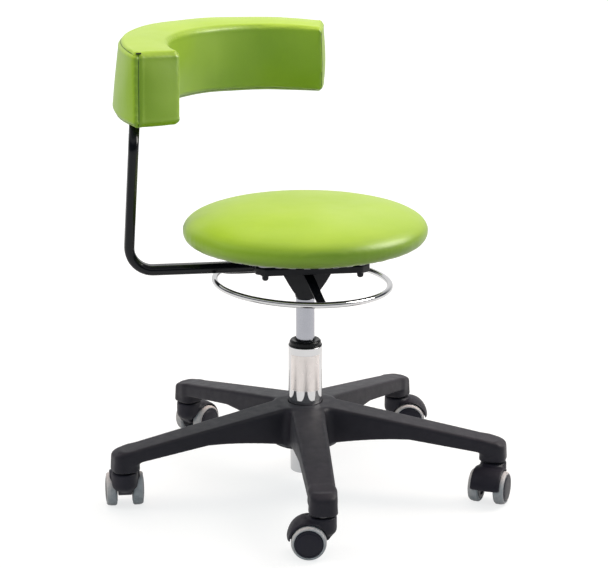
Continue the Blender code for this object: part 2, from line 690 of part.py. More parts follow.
def spoke_mesh(angle):
    """A flat strip from the centre disc down to the inside of the ring."""
    cosine, sine = math.cos(math.radians(angle)), math.sin(math.radians(angle))
    # distance from the column axis to the ring's centreline along this direction
    along = RING_CENTRE[0] * cosine + RING_CENTRE[1] * sine
    across = -RING_CENTRE[0] * sine + RING_CENTRE[1] * cosine
    reach = along + math.sqrt(RING_R**2 - across**2) - RING_ROD_R - 1.1
    foot = ring_z(reach * cosine, reach * sine)
    wide, thick = SPOKE_HALF_WIDE, SPOKE_HALF_THICK
    corners = ((-wide, -thick), (wide, -thick), (wide, thick), (-wide, thick))
    stations = ((6.0, SPOKE_Z), (30.0, SPOKE_Z), (reach - 5.0, foot + 1.2), (reach, foot))
    return loft([
        [(r * cosine - w * sine, r * sine + w * cosine, z + h) for w, h in corners]
        for r, z in stations
    ])


def build_release_ring(lift):
    """Ring and spider, drawn from the column axis and so moved back from the pivot."""
    pivot = frame("ring_pivot", lift, RING_PIVOT)
    away = tuple(-value for value in RING_PIVOT)
    body("release_ring", ring_mesh(), CHROME, pivot, away)
    spider = body("ring_spider", cylinder(12.7, 333.7, 330.9, 24), SATIN_BLACK, pivot, away)
    for number, angle in enumerate(SPOKE_ANGLES, 1):
        join(spider, tool(f"spoke_shape_{number}", spoke_mesh(angle), pivot, away))


def build_button(lift):
    profile = [(0, 330.2), (2.0, 330.2), (2.6, 329.4), (2.6, 300.0), (0, 300.0)]
    body("release_button", turned(profile, 12), STEEL, lift)


# ---------------------------------------------------------------- assembly
stool = frame("stool_frame", place=COLUMN_AT)
base_frame = frame("base_frame", stool)
build_star_base(base_frame)
shared_tools = castor_tools()
for castor, angles in enumerate(zip(ARM_ANGLES, TRAIL_ANGLES), 1):
    build_castor(f"castor_{castor}", *angles, base_frame, shared_tools)
build_column_base(base_frame)

column_spindle = frame("column_spindle", stool)
build_rod(column_spindle)

lift_frame = frame("lift_frame", column_spindle)
build_pressure_tube(lift_frame)
build_socket(lift_frame)
build_bolts(build_seat_plate(lift_frame), build_turntable_lower(lift_frame), lift_frame)
build_bar(lift_frame)
build_pad(lift_frame)
build_seat(frame("seat_frame", lift_frame))
build_release_ring(lift_frame)
build_button(lift_frame)
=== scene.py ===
"""A height-adjustable stool with a round lime seat and a curved pad on a bent bar.

The column stands on the floor (z = 0) over a five-armed castor base, +Z is up and the camera
looks from the front, -Y. The bar runs out to -X and carries the pad, which curves from there
round the back (+Y). Lengths are in mm from the foot of the column axis, unless a name or
comment says otherwise; shader distances, lights and the camera are in metres.
"""

import json
import math

import bmesh
import bpy
import numpy as np
from mathutils import Matrix, Vector
from mathutils.bvhtree import BVHTree


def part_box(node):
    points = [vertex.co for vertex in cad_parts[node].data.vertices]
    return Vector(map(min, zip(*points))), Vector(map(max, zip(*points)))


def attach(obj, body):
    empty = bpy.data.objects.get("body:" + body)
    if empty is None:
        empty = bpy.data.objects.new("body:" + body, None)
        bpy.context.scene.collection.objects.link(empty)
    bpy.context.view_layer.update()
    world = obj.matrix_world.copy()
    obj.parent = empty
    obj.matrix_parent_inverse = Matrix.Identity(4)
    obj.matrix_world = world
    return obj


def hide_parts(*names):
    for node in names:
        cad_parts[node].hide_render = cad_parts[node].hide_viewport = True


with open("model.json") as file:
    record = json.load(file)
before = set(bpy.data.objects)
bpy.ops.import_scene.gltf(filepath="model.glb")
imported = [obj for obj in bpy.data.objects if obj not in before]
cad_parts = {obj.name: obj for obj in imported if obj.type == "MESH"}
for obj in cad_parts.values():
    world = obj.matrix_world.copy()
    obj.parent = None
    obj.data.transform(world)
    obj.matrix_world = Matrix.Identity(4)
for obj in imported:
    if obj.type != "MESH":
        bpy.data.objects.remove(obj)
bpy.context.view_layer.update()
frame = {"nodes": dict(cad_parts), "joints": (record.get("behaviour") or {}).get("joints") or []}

MM = 0.001
JOINT = {joint["name"]: joint for joint in frame["joints"]}
COLUMN = JOINT["column_swivel"]["pos_m"]
ORIGIN = np.array([COLUMN[0] * 1000, COLUMN[1] * 1000, 0.0])


def mm_box(node):
    """Low and high corners of a CAD node."""
    low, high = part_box(node)
    return np.array(low) * 1000 - ORIGIN, np.array(high) * 1000 - ORIGIN


def joint_at(name):
    return np.array(JOINT[name]["pos_m"]) * 1000 - ORIGIN


# ================================================================ shader nodes
def grey(level):
    return (level, level, level)


class Shader:
    """Adds nodes to the tree of a material or world. A socket given as a value is linked."""

    def __init__(self, owner, coords="Object"):
        owner.use_nodes = True
        self.owner = owner
        self.tree = owner.node_tree
        self.coords = self.add("TexCoord").outputs[coords]

    def put(self, socket, value):
        if isinstance(value, bpy.types.NodeSocket):
            self.tree.links.new(value, socket)
        else:
            socket.default_value = (*value, 1) if socket.type == "RGBA" else value

    def fill(self, node, values):
        for key, value in values.items():
            self.put(node.inputs[key], value)

    def add(self, kind, values=None, **settings):
        node = self.tree.nodes.new("ShaderNode" + kind)
        for key, value in settings.items():
            setattr(node, key, value)
        self.fill(node, values or {})
        return node

    def stretch(self, scale):
        return self.add("Mapping", {"Scale": scale, "Vector": self.coords}).outputs["Vector"]

    def noise(self, scale, detail=3.0, rough=0.5, distort=0.0, coords=None):
        values = {"Scale": scale, "Detail": detail, "Roughness": rough, "Distortion": distort}
        values["Vector"] = coords or self.coords
        return self.add("TexNoise", values).outputs["Fac"]

    def cells(self, scale):
        return self.add("TexVoronoi", {"Scale": scale, "Vector": self.coords}).outputs["Distance"]

    def ramp(self, factor, stops):
        """Colours a factor; stops are (position, colour) in rising order."""
        node = self.add("ValToRGB", {"Fac": factor})
        elements = node.color_ramp.elements
        for element, (position, colour) in zip(elements, (stops[0], stops[-1])):
            element.position = position
            element.color = (*colour, 1)
        for position, colour in stops[1:-1]:
            elements.new(position).color = (*colour, 1)
        return node.outputs["Color"]

    def remap(self, value, source, target):
        """Carries the source (low, high) range over to the target range."""
        limits = zip(("From Min", "From Max", "To Min", "To Max"), (*source, *target))
        return self.add("MapRange", {"Value": value, **dict(limits)}).outputs["Result"]

    def math(self, operation, first, second):
        return self.add("Math", {0: first, 1: second}, operation=operation).outputs[0]

    def mix(self, factor, first, second, blend="MIX"):
        node = self.add("Mix", {"Factor": factor}, data_type="RGBA", blend_type=blend)
        colours = [socket for socket in node.inputs if socket.type == "RGBA"]
        self.put(colours[0], first)
        self.put(colours[1], second)
        return [socket for socket in node.outputs if socket.type == "RGBA"][0]

    def bump(self, height, strength, distance, before=None):
        """Adds relief to the normal, over an earlier bump if one is given."""
        values = {"Strength": strength, "Distance": distance, "Height": height}
        if before is not None:
            values["Normal"] = before
        return self.add("Bump", values).outputs["Normal"]

    def principled(self, values):
        """Fills the surface shader and returns the finished material."""
        self.fill(self.tree.nodes["Principled BSDF"], values)
        return self.owner


def new_shader(name):
    return Shader(bpy.data.materials.new(name))


# ================================================================ materials
def vinyl():
    """Lime upholstery vinyl: a fine pebbled grain with painted shade along its creases, a soft
    sheen and slight cloudiness.
    """
    shader = new_shader("vinyl_lime")
    cloud = shader.ramp(shader.noise(scale=11.0, detail=3.0, rough=0.55), [
        (0.30, (0.350, 0.535, 0.019)), (0.55, (0.375, 0.560, 0.023)),
        (0.75, (0.395, 0.575, 0.029))])
    pebbles = shader.cells(scale=950.0)
    # painted shade: the colour darkens a little along the pebble borders, the creases of the
    # grain
    crease_shade = shader.ramp(pebbles, [(0.0, grey(1)), (0.55, grey(0.985)), (1.0, grey(0.93))])
    patches = shader.noise(scale=24.0, detail=4.0)
    soft = shader.bump(shader.noise(scale=26.0, detail=2.0), strength=0.16, distance=0.0022)
    grain = shader.bump(pebbles, strength=0.22, distance=0.00014, before=soft)
    pores = shader.noise(scale=2600.0, detail=2.0)
    return shader.principled({
        "Base Color": shader.mix(1.0, cloud, crease_shade, blend="MULTIPLY"),
        "Roughness": shader.remap(patches, (0.25, 0.75), (0.36, 0.45)),
        "Coat Weight": 0.22,
        "Coat Roughness": 0.34,
        "Sheen Weight": 0.06,
        "Sheen Roughness": 0.4,
        "Normal": shader.bump(pores, strength=0.10, distance=0.00006, before=grain),
    })


def nylon(name, base, dark, rough, grain=1500.0, strength=0.32, sheen=None):
    """Moulded nylon: matt and mottled. grain is the scale of its texture, strength its relief."""
    shader = new_shader(name)
    mottle = shader.noise(scale=38.0, detail=5.0, rough=0.6)
    patches = shader.noise(scale=90.0, detail=4.0)
    flow = shader.bump(shader.noise(scale=45.0, detail=2.0), strength=0.05, distance=0.0009)
    pits = shader.bump(
        shader.cells(scale=grain * 0.7), strength=strength * 0.6, distance=0.00016, before=flow)
    fine = shader.noise(scale=grain, detail=4.0, rough=0.65)
    if sheen:
        shader.principled(sheen)
    return shader.principled({
        "Base Color": shader.ramp(mottle, [(0.30, dark), (0.68, base)]),
        "Roughness": shader.remap(patches, (0.3, 0.7), rough),
        "Specular IOR Level": 0.30,
        "Normal": shader.bump(fine, strength=strength, distance=0.00022, before=pits),
    })


def metal(name, base, rough, streak=None, strength=0.05, spread=0.05):
    """Plated or ground steel. streak scales each axis, so that fine lines run along the least."""
    shader = new_shader(name)
    tint = tuple(c * 0.93 for c in base)
    if streak:
        lines = shader.noise(scale=1.0, detail=5.0, rough=0.6, coords=shader.stretch(streak))
    else:
        lines = shader.noise(scale=600.0, detail=5.0, rough=0.6)
    wear = shader.noise(scale=55.0, detail=5.0, rough=0.6)
    both = shader.math(
        "ADD", shader.math("MULTIPLY", lines, 0.6), shader.math("MULTIPLY", wear, 0.4))
    limits = (max(0.02, rough - spread), rough + spread)
    tone = shader.noise(scale=30.0, detail=4.0)
    return shader.principled({
        "Metallic": 1.0,
        "Base Color": shader.ramp(tone, [(0.3, tint), (0.7, base)]),
        "Roughness": shader.remap(both, (0.3, 0.7), limits),
        "Normal": shader.bump(lines, strength=strength, distance=0.00006),
    })


def paint(name, base, rough, peel, strength, specular, coat=0.0):
    """Powder coat over steel; peel is the scale of its orange peel."""
    shader = new_shader(name)
    lift = tuple(min(1.0, c * 1.5 + 0.002) for c in base)
    tone = shader.noise(scale=70.0, detail=4.0)
    patches = shader.noise(scale=120.0, detail=4.0)
    large = shader.bump(shader.noise(scale=peel, detail=2.0), strength=strength, distance=0.0004)
    fine = shader.noise(scale=peel * 5, detail=3.0)
    return shader.principled({
        "Base Color": shader.ramp(tone, [(0.3, base), (0.8, lift)]),
        "Roughness": shader.remap(patches, (0.3, 0.7), (rough - 0.03, rough + 0.05)),
        "Specular IOR Level": specular,
        "Coat Weight": coat,
        "Coat Roughness": 0.08,
        "Normal": shader.bump(fine, strength=strength * 0.6, distance=0.00008, before=large),
    })


def tread():
    """Soft grey polyurethane, a little scuffed."""
    shader = new_shader("grey_polyurethane")
    scuff = shader.noise(scale=140.0, detail=6.0, rough=0.65)
    fine = shader.bump(shader.noise(scale=1800.0, detail=3.0), strength=0.25, distance=0.00012)
    waves = shader.noise(scale=160.0, detail=3.0)
    return shader.principled({
        "Base Color": shader.ramp(scuff, [
            (0.30, (0.50, 0.448, 0.440)), (0.52, (0.63, 0.563, 0.552)),
            (0.74, (0.70, 0.625, 0.613))]),
        "Roughness": shader.remap(scuff, (0.3, 0.7), (0.42, 0.6)),
        "Normal": shader.bump(waves, strength=0.10, distance=0.0004, before=fine),
    })


def plywood():
    """Birch plywood: long grain on the faces and thin glue lines on the edge."""
    shader = new_shader("birch_ply")
    along_x = shader.stretch((6.0, 90.0, 90.0))
    grain = shader.noise(scale=1.0, detail=8.0, rough=0.62, distort=0.6, coords=along_x)
    face = shader.ramp(grain, [
        (0.28, (0.40, 0.24, 0.115)), (0.5, (0.56, 0.385, 0.21)), (0.72, (0.66, 0.48, 0.29))])
    layers = shader.add(
        "TexWave", {"Scale": 110.0, "Distortion": 0.6, "Vector": shader.coords},
        wave_type="BANDS", bands_direction="Z")
    glue = shader.ramp(
        layers.outputs["Fac"], [(0.0, (0.55, 0.5, 0.45)), (0.2, grey(1)), (1.0, grey(1))])
    return shader.principled({
        "Base Color": shader.mix(0.8, face, glue, blend="MULTIPLY"),
        "Roughness": 0.55,
        "Normal": shader.bump(grain, strength=0.15, distance=0.0003),
    })


# Dark green of the lines along the pad's seams: painted shade of the seam grooves, over a real
# seam.
def seam_shade_line():
    shader = new_shader("seam_shade_green")
    tone = shader.noise(scale=500.0, detail=3.0)
    fibres = shader.noise(scale=2400.0, detail=3.0)
    return shader.principled({
        "Base Color": shader.ramp(
            tone, [(0.3, (0.060, 0.115, 0.012)), (0.7, (0.11, 0.19, 0.02))]),
        "Roughness": 0.6,
        "Normal": shader.bump(fibres, strength=0.4, distance=0.0002),
    })


def film():
    """A blank, pale satin film."""
    shader = new_shader("pale_film")
    tone = shader.noise(scale=60.0, detail=4.0)
    patches = shader.noise(scale=300.0, detail=3.0)
    ripple = shader.noise(scale=700.0, detail=2.0)
    return shader.principled({
        "Base Color": shader.ramp(tone, [(0.3, (0.93, 0.86, 0.83)), (0.7, (0.98, 0.91, 0.88))]),
        "Metallic": 0.92,
        "Roughness": shader.remap(patches, (0.3, 0.7), (0.27, 0.36)),
        "Normal": shader.bump(ripple, strength=0.05, distance=0.0001),
    })


VINYL = vinyl()
NYLON = nylon(
    "nylon_charcoal", base=(0.0285, 0.0233, 0.0315), dark=(0.0213, 0.0177, 0.0244),
    rough=(0.46, 0.58), sheen={"Sheen Weight": 0.10, "Sheen Roughness": 0.45})
HOOD = nylon(
    "nylon_castor", base=(0.0225, 0.0188, 0.0290), dark=(0.0138, 0.0118, 0.0187),
    rough=(0.42, 0.55), grain=1700.0, strength=0.22)
DISC = nylon(
    "nylon_disc", base=(0.0150, 0.0131, 0.0250), dark=(0.0114, 0.0101, 0.0196),
    rough=(0.34, 0.46), grain=1900.0, strength=0.14)
CHROME = metal(
    "chrome_plate", base=(0.77, 0.77, 0.78), rough=0.055, strength=0.012, spread=0.025)
SATIN = metal(
    "satin_ground_steel", base=(0.50, 0.51, 0.56), rough=0.173,
    streak=(420.0, 420.0, 5.0), strength=0.30, spread=0.07)
ZINC = metal("zinc_steel", base=(0.52, 0.52, 0.54), rough=0.36, strength=0.12, spread=0.08)
TURNED = metal(
    "turned_steel", base=(0.55, 0.55, 0.57), rough=0.3,
    streak=(14.0, 14.0, 1600.0), strength=0.2, spread=0.05)
GLOSS = paint(
    "gloss_black", base=(0.0040, 0.0042, 0.0065), rough=0.22, peel=170.0, strength=0.05,
    specular=0.24, coat=0.2)
SATIN_BLACK = paint(
    "satin_black", base=(0.0055, 0.0055, 0.0085), rough=0.34, peel=420.0, strength=0.10,
    specular=0.32)
ACETAL = nylon(
    "black_acetal", base=(0.012, 0.012, 0.013), dark=(0.008, 0.008, 0.009),
    rough=(0.2, 0.3), grain=900.0, strength=0.04)
TREAD = tread()
PLY = plywood()
STAINED = nylon(
    "stained_board", base=(0.020, 0.017, 0.015), dark=(0.012, 0.010, 0.009),
    rough=(0.55, 0.7), grain=500.0, strength=0.3)
# painted shade for the pad's seam lines
SEAM_SHADE = seam_shade_line()
FILM = film()


# ================================================================ objects
def to_object(name, verts, faces, mat):
    """faces is an array of quads or a list of tuples."""
    mesh = bpy.data.meshes.new(name)
    verts = np.asarray(verts, np.float32) * MM
    if isinstance(faces, np.ndarray):
        mesh.vertices.add(len(verts))
        mesh.vertices.foreach_set("co", verts.ravel())
        count, sides = faces.shape
        mesh.loops.add(count * sides)
        mesh.loops.foreach_set("vertex_index", faces.astype(np.int32).ravel())
        mesh.polygons.add(count)
        starts = np.arange(0, count * sides, sides, dtype=np.int32)
        mesh.polygons.foreach_set("loop_start", starts)
        mesh.update(calc_edges=True)
        mesh.validate()
    else:
        mesh.from_pydata(verts.tolist(), [], faces)
    mesh.polygons.foreach_set("use_smooth", [True] * len(mesh.polygons))
    mesh.materials.append(mat)
    made = bpy.data.objects.new(name, mesh)
    bpy.context.scene.collection.objects.link(made)
    return made


def place(made, body, slot, node=None, at=(0.0, 0.0, 0.0), turn=0.0, weighted=True):
    shift = Matrix.Translation(Vector(np.array(at) + ORIGIN) * MM)
    made.matrix_world = shift @ Matrix.Rotation(math.radians(turn), 4, "Z")
    if weighted:
        normals = made.modifiers.new("weighted", "WEIGHTED_NORMAL")
        normals.weight = 100
        normals.keep_sharp = True
    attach(made, body)
    if node:
        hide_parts(node)
    return made


def piece(name, part, mat, *where, **options):
    """A visible piece from a (verts, faces) part; the rest goes to place()."""
    return place(to_object(name, *part, mat), *where, **options)


def apply_modifiers(obj):
    graph = bpy.context.evaluated_depsgraph_get()
    mesh = bpy.data.meshes.new_from_object(obj.evaluated_get(graph))
    obj.modifiers.clear()
    old = obj.data
    obj.data = mesh
    bpy.data.meshes.remove(old)


def relax(obj, rounds, factor=0.5):
    smooth = obj.modifiers.new("relax", "SMOOTH")
    smooth.iterations = rounds
    smooth.factor = factor
    apply_modifiers(obj)


def subdivide(obj):
    fine = obj.modifiers.new("fine", "SUBSURF")
    fine.levels = fine.render_levels = 1
    apply_modifiers(obj)


def vectors_of(data, key):
    """Three numbers for each item of a mesh collection, as rows."""
    values = np.zeros(len(data) * 3, np.float32)
    data.foreach_get(key, values)
    return values.reshape(-1, 3).astype(float)


def points_of(obj):
    return vectors_of(obj.data.vertices, "co") * 1000


def normals_of(obj):
    return vectors_of(obj.data.vertex_normals, "vector")


def set_points(obj, points):
    obj.data.vertices.foreach_set("co", (points * MM).astype(np.float32).ravel())
    obj.data.update()


# ================================================================ outlines and solids
# A part is (verts, faces). Outline points are (x, y) or (x, y, corner radius).
def fillet(points, closed=False, step=18.0):
    """Rounds the corners of an outline with at most step degrees to a facet."""
    out = []
    for i, point in enumerate(points):
        radius = point[2] if len(point) > 2 else 0.0
        here = np.array(point[:2], float)
        if radius <= 0 or (not closed and i in (0, len(points) - 1)):
            out.append(tuple(here))
            continue
        before = np.array(points[i - 1][:2], float) - here
        after = np.array(points[(i + 1) % len(points)][:2], float) - here
        before_length, after_length = np.linalg.norm(before), np.linalg.norm(after)
        before, after = before / before_length, after / after_length
        half = math.acos(max(-1.0, min(1.0, float(before @ after)))) / 2
        # a corner takes no more than its share of either side
        cut = min(radius / math.tan(half), 0.48 * min(before_length, after_length))
        if cut < 1e-4:
            out.append(tuple(here))
            continue
        radius = cut * math.tan(half)
        middle = (before + after) / np.linalg.norm(before + after)
        centre = here + middle * (radius / math.sin(half))
        first, last = here + before * cut - centre, here + after * cut - centre
        total = math.pi - 2 * half
        count = max(1, math.ceil(math.degrees(total) / step))
        sign = 1.0 if first[0] * last[1] - first[1] * last[0] > 0 else -1.0
        for j in range(count + 1):
            angle = sign * total * j / count
            cos, sin = math.cos(angle), math.sin(angle)
            out.append((centre[0] + first[0] * cos - first[1] * sin,
                        centre[1] + first[0] * sin + first[1] * cos))
    return out


def rounded_rect(half_x, half_y, radius, centre=(0.0, 0.0), step=10.0):
    """Runs counter-clockwise."""
    corners = [(half_x, half_y, radius), (-half_x, half_y, radius),
               (-half_x, -half_y, radius), (half_x, -half_y, radius)]
    return [(x + centre[0], y + centre[1]) for x, y in fillet(corners, True, step)]


def outward(verts, faces):
    """Merges doubled points and turns the faces so that they point out."""
    bm = bmesh.new()
    made = [bm.verts.new(tuple(vert)) for vert in verts]
    for face in faces:
        bm.faces.new([made[i] for i in face])
    bmesh.ops.remove_doubles(bm, verts=bm.verts, dist=1e-5)
    bmesh.ops.recalc_face_normals(bm, faces=bm.faces)
    bm.verts.index_update()
    out_verts = np.array([vert.co[:] for vert in bm.verts])
    out_faces = [tuple(vert.index for vert in face.verts) for face in bm.faces]
    volume = bm.calc_volume(signed=True)
    bm.free()
    if volume < 0:
        out_faces = [tuple(reversed(face)) for face in out_faces]
    return out_verts, out_faces


def lathe(profile, segments, step=18.0, closed=True, axis="Z", start=0.0, sweep=360.0):
    """Turns a (radius, along, corner radius) outline, filleted with the given step.

    closed: the outline is a ring section; otherwise it starts and ends on the axis.
    """
    full = sweep >= 360.0
    count = segments if full else segments + 1
    angles = np.radians(start + sweep * np.arange(count) / segments)
    verts, faces, rows = [], [], []
    for radius, along in fillet(profile, closed, step):
        if radius < 1e-6:
            rows.append([len(verts)])
            verts.append((0.0, 0.0, along))
        else:
            rows.append(list(range(len(verts), len(verts) + count)))
            verts += [(radius * math.cos(a), radius * math.sin(a), along) for a in angles]
    pairs = list(zip(rows, rows[1:]))
    if closed:
        pairs.append((rows[-1], rows[0]))
    for low, high in pairs:
        for i in range(count if full else count - 1):
            j = (i + 1) % count
            if len(low) == 1:
                faces.append((low[0], high[j], high[i]))
            elif len(high) == 1:
                faces.append((low[i], low[j], high[0]))
            else:
                faces.append((low[i], low[j], high[j], high[i]))
    if not full:
        faces.append(tuple(row[0] for row in rows))
        faces.append(tuple(row[-1] for row in reversed(rows)))
    verts = np.array(verts)
    if axis == "Y":
        verts = verts[:, [0, 2, 1]]
    return outward(verts, faces)


def skin(rings, closed=False):
    """Faces over a run of rings of equal point count, capped unless the run is closed."""
    count = len(rings[0])
    verts = [point for ring in rings for point in ring]
    faces = []
    for i in range(len(rings) if closed else len(rings) - 1):
        low, high = i * count, ((i + 1) % len(rings)) * count
        for j in range(count):
            k = (j + 1) % count
            faces.append((low + j, low + k, high + k, high + j))
    if not closed:
        faces.append(tuple(range(count)))
        faces.append(tuple(range(len(verts) - count, len(verts)))[::-1])
    return outward(verts, faces)


def join(*parts):
    verts, faces, base = [], [], 0
    for part_verts, part_faces in parts:
        verts.append(np.asarray(part_verts, float))
        faces += [tuple(i + base for i in face) for face in part_faces]
        base += len(part_verts)
    return np.vstack(verts), faces


def slab(outline, low, high, edge=0.8, steps=3):
    """A plate with rounded edges over a counter-clockwise outline."""
    points = np.array(outline, float)
    along = np.roll(points, -1, 0) - points
    normal = np.stack([along[:, 1], -along[:, 0]], 1)
    normal /= np.maximum(np.linalg.norm(along, axis=1), 1e-9)[:, None]
    normal = np.roll(normal, 1, 0) + normal
    normal /= np.maximum(np.linalg.norm(normal, axis=1), 1e-9)[:, None]
    angles = [math.pi / 2 * i / steps for i in range(steps + 1)]
    levels = [(a, low + edge * (1 - math.cos(a))) for a in angles]
    levels += [(a, high - edge * (1 - math.cos(a))) for a in reversed(angles)]
    rings = []
    for angle, z in levels:
        inset = edge * (1 - math.sin(angle))
        rings.append([(x, y, z) for x, y in points - normal * inset])
    return skin(rings)


def moved(part, by=(0, 0, 0), turn=0.0):
    """Turns a part about Z by degrees, then shifts it."""
    verts, faces = part
    cos, sin = math.cos(math.radians(turn)), math.sin(math.radians(turn))
    x, y, z = np.asarray(verts, float).T
    return np.stack([x * cos - y * sin, x * sin + y * cos, z], 1) + np.array(by, float), faces


def tube(path, radius, sides=8):
    """A round thread along a path of points."""
    points = np.array(path, float)
    along = np.gradient(points, axis=0)
    along /= np.linalg.norm(along, axis=1)[:, None]
    up = np.array([0.0, 0.0, 1.0] if abs(along[0][2]) < 0.9 else [1.0, 0.0, 0.0])
    side = np.cross(along[0], up)
    rings = []
    for point, tangent in zip(points, along):
        side = side - tangent * (side @ tangent)
        side /= np.linalg.norm(side)
        other = np.cross(tangent, side)
        rings.append([tuple(point + radius * (math.cos(a) * side + math.sin(a) * other))
                      for a in np.linspace(0, 2 * math.pi, sides, endpoint=False)])
    return skin(rings)


# ================================================================ distance fields
# A field is negative inside the solid. The last argument of smin and smax is the blend width.
def smin(first, second, blend):
    near = np.maximum(blend - np.abs(first - second), 0.0) / blend
    return np.minimum(first, second) - near * near * (blend * 0.25)


def smax(first, second, blend):
    near = np.maximum(blend - np.abs(first - second), 0.0) / blend
    return np.maximum(first, second) + near * near * (blend * 0.25)


def smoothstep(low, high, value):
    share = np.clip((value - low) / (high - low), 0, 1)
    return share * share * (3 - 2 * share)


def grid(low, shape, cell, kind=np.float64):
    """The x, y and z of a block of grid points, as arrays that broadcast together."""
    x, y, z = (low[i] + cell * np.arange(shape[i], dtype=kind) for i in range(3))
    return x[:, None, None], y[None, :, None], z[None, None, :]


def polygon_distance(x, y, outline):
    """Signed distance to a closed polygon."""
    points = np.array(outline, float)
    best = np.full(np.broadcast(x, y).shape, 1e9)
    inside = np.zeros(best.shape, bool)
    for start, end in zip(points, np.roll(points, -1, 0)):
        side_x, side_y = end - start
        from_x, from_y = x - start[0], y - start[1]
        share = (from_x * side_x + from_y * side_y) / (side_x * side_x + side_y * side_y)
        share = np.clip(share, 0, 1)
        gap = (from_x - share * side_x) ** 2 + (from_y - share * side_y) ** 2
        best = np.minimum(best, gap)
        level = (start[1] > y) != (end[1] > y)
        inside ^= level & (x < side_x * (y - start[1]) / (side_y + 1e-12) + start[0])
    distance = np.sqrt(best)
    return np.where(inside, -distance, distance)


def surface(field, origin, cell):
    """Surface nets: one point in each crossed cell, one quad on each crossed edge."""
    field = field.astype(np.float32)
    inside = field < 0
    size_x, size_y, size_z = (size - 1 for size in field.shape)
    count = np.zeros((size_x, size_y, size_z), np.uint8)
    for i, j, k in np.ndindex(2, 2, 2):
        count += inside[i : size_x + i, j : size_y + j, k : size_z + k]
    cells = np.argwhere((count > 0) & (count < 8))
    index = np.full(count.shape, -1, np.int32)
    index[tuple(cells.T)] = np.arange(len(cells), dtype=np.int32)
    total = np.zeros((len(cells), 3))
    hits = np.zeros(len(cells))
    quads = []
    for axis in range(3):
        across, other = [k for k in range(3) if k != axis]
        # each cell's point is the mean of the crossings on its twelve edges
        for i, j in np.ndindex(2, 2):
            low = np.zeros(3, int)
            low[across], low[other] = i, j
            high = low.copy()
            high[axis] = 1
            start = field[tuple((cells + low).T)].astype(float)
            end = field[tuple((cells + high).T)].astype(float)
            crossed = (start < 0) != (end < 0)
            point = np.tile(low.astype(float), (len(cells), 1))
            share = start / np.where(start == end, 1.0, start - end)
            point[:, axis] = np.where(crossed, share, 0.0)
            total += point * crossed[:, None]
            hits += crossed
        edges = np.argwhere(np.diff(inside, axis=axis))
        for k in (across, other):
            edges = edges[(edges[:, k] > 0) & (edges[:, k] < field.shape[k] - 1)]
        corners = []
        for back_across, back_other in ((-1, -1), (0, -1), (0, 0), (-1, 0)):
            near = edges.copy()
            near[:, across] += back_across
            near[:, other] += back_other
            corners.append(index[tuple(near.T)])
        quad = np.stack(corners, 1)
        leaves = inside[tuple(edges.T)]
        keep = leaves if axis != 1 else ~leaves
        quads.append(np.where(keep[:, None], quad, quad[:, ::-1]))
    return np.array(origin) + cell * (cells + total / hits[:, None]), np.vstack(quads)


# ================================================================ star base
STEMS = [joint_at(f"castor_{n}_swivel") * (1, 1, 0) for n in range(1, 6)]
STEM_R = float(np.hypot(STEMS[0][0], STEMS[0][1]))
ARM_ANGLE = math.atan2(STEMS[0][1], STEMS[0][0])
BOSS_LOW, HUB_TOP = (float(corner[2]) for corner in mm_box("star_base"))
BOSS_TOP = BOSS_LOW + 32.2
TUBE_R = float(mm_box("column_outer_tube")[1][0])
HUB_LOW = 68.5
HUB_PROFILE = ((HUB_LOW, 92.0, 122.0, 133.0), (51.0, 50.5, 45.0, 41.0))  # heights, radii
KNEE = 165.0  # where the underside of an arm changes slope
POCKETS = ((60.0, 101.0), (104.5, 149.0), (152.5, 197.0), (200.5, 256.0))  # from, to along an arm


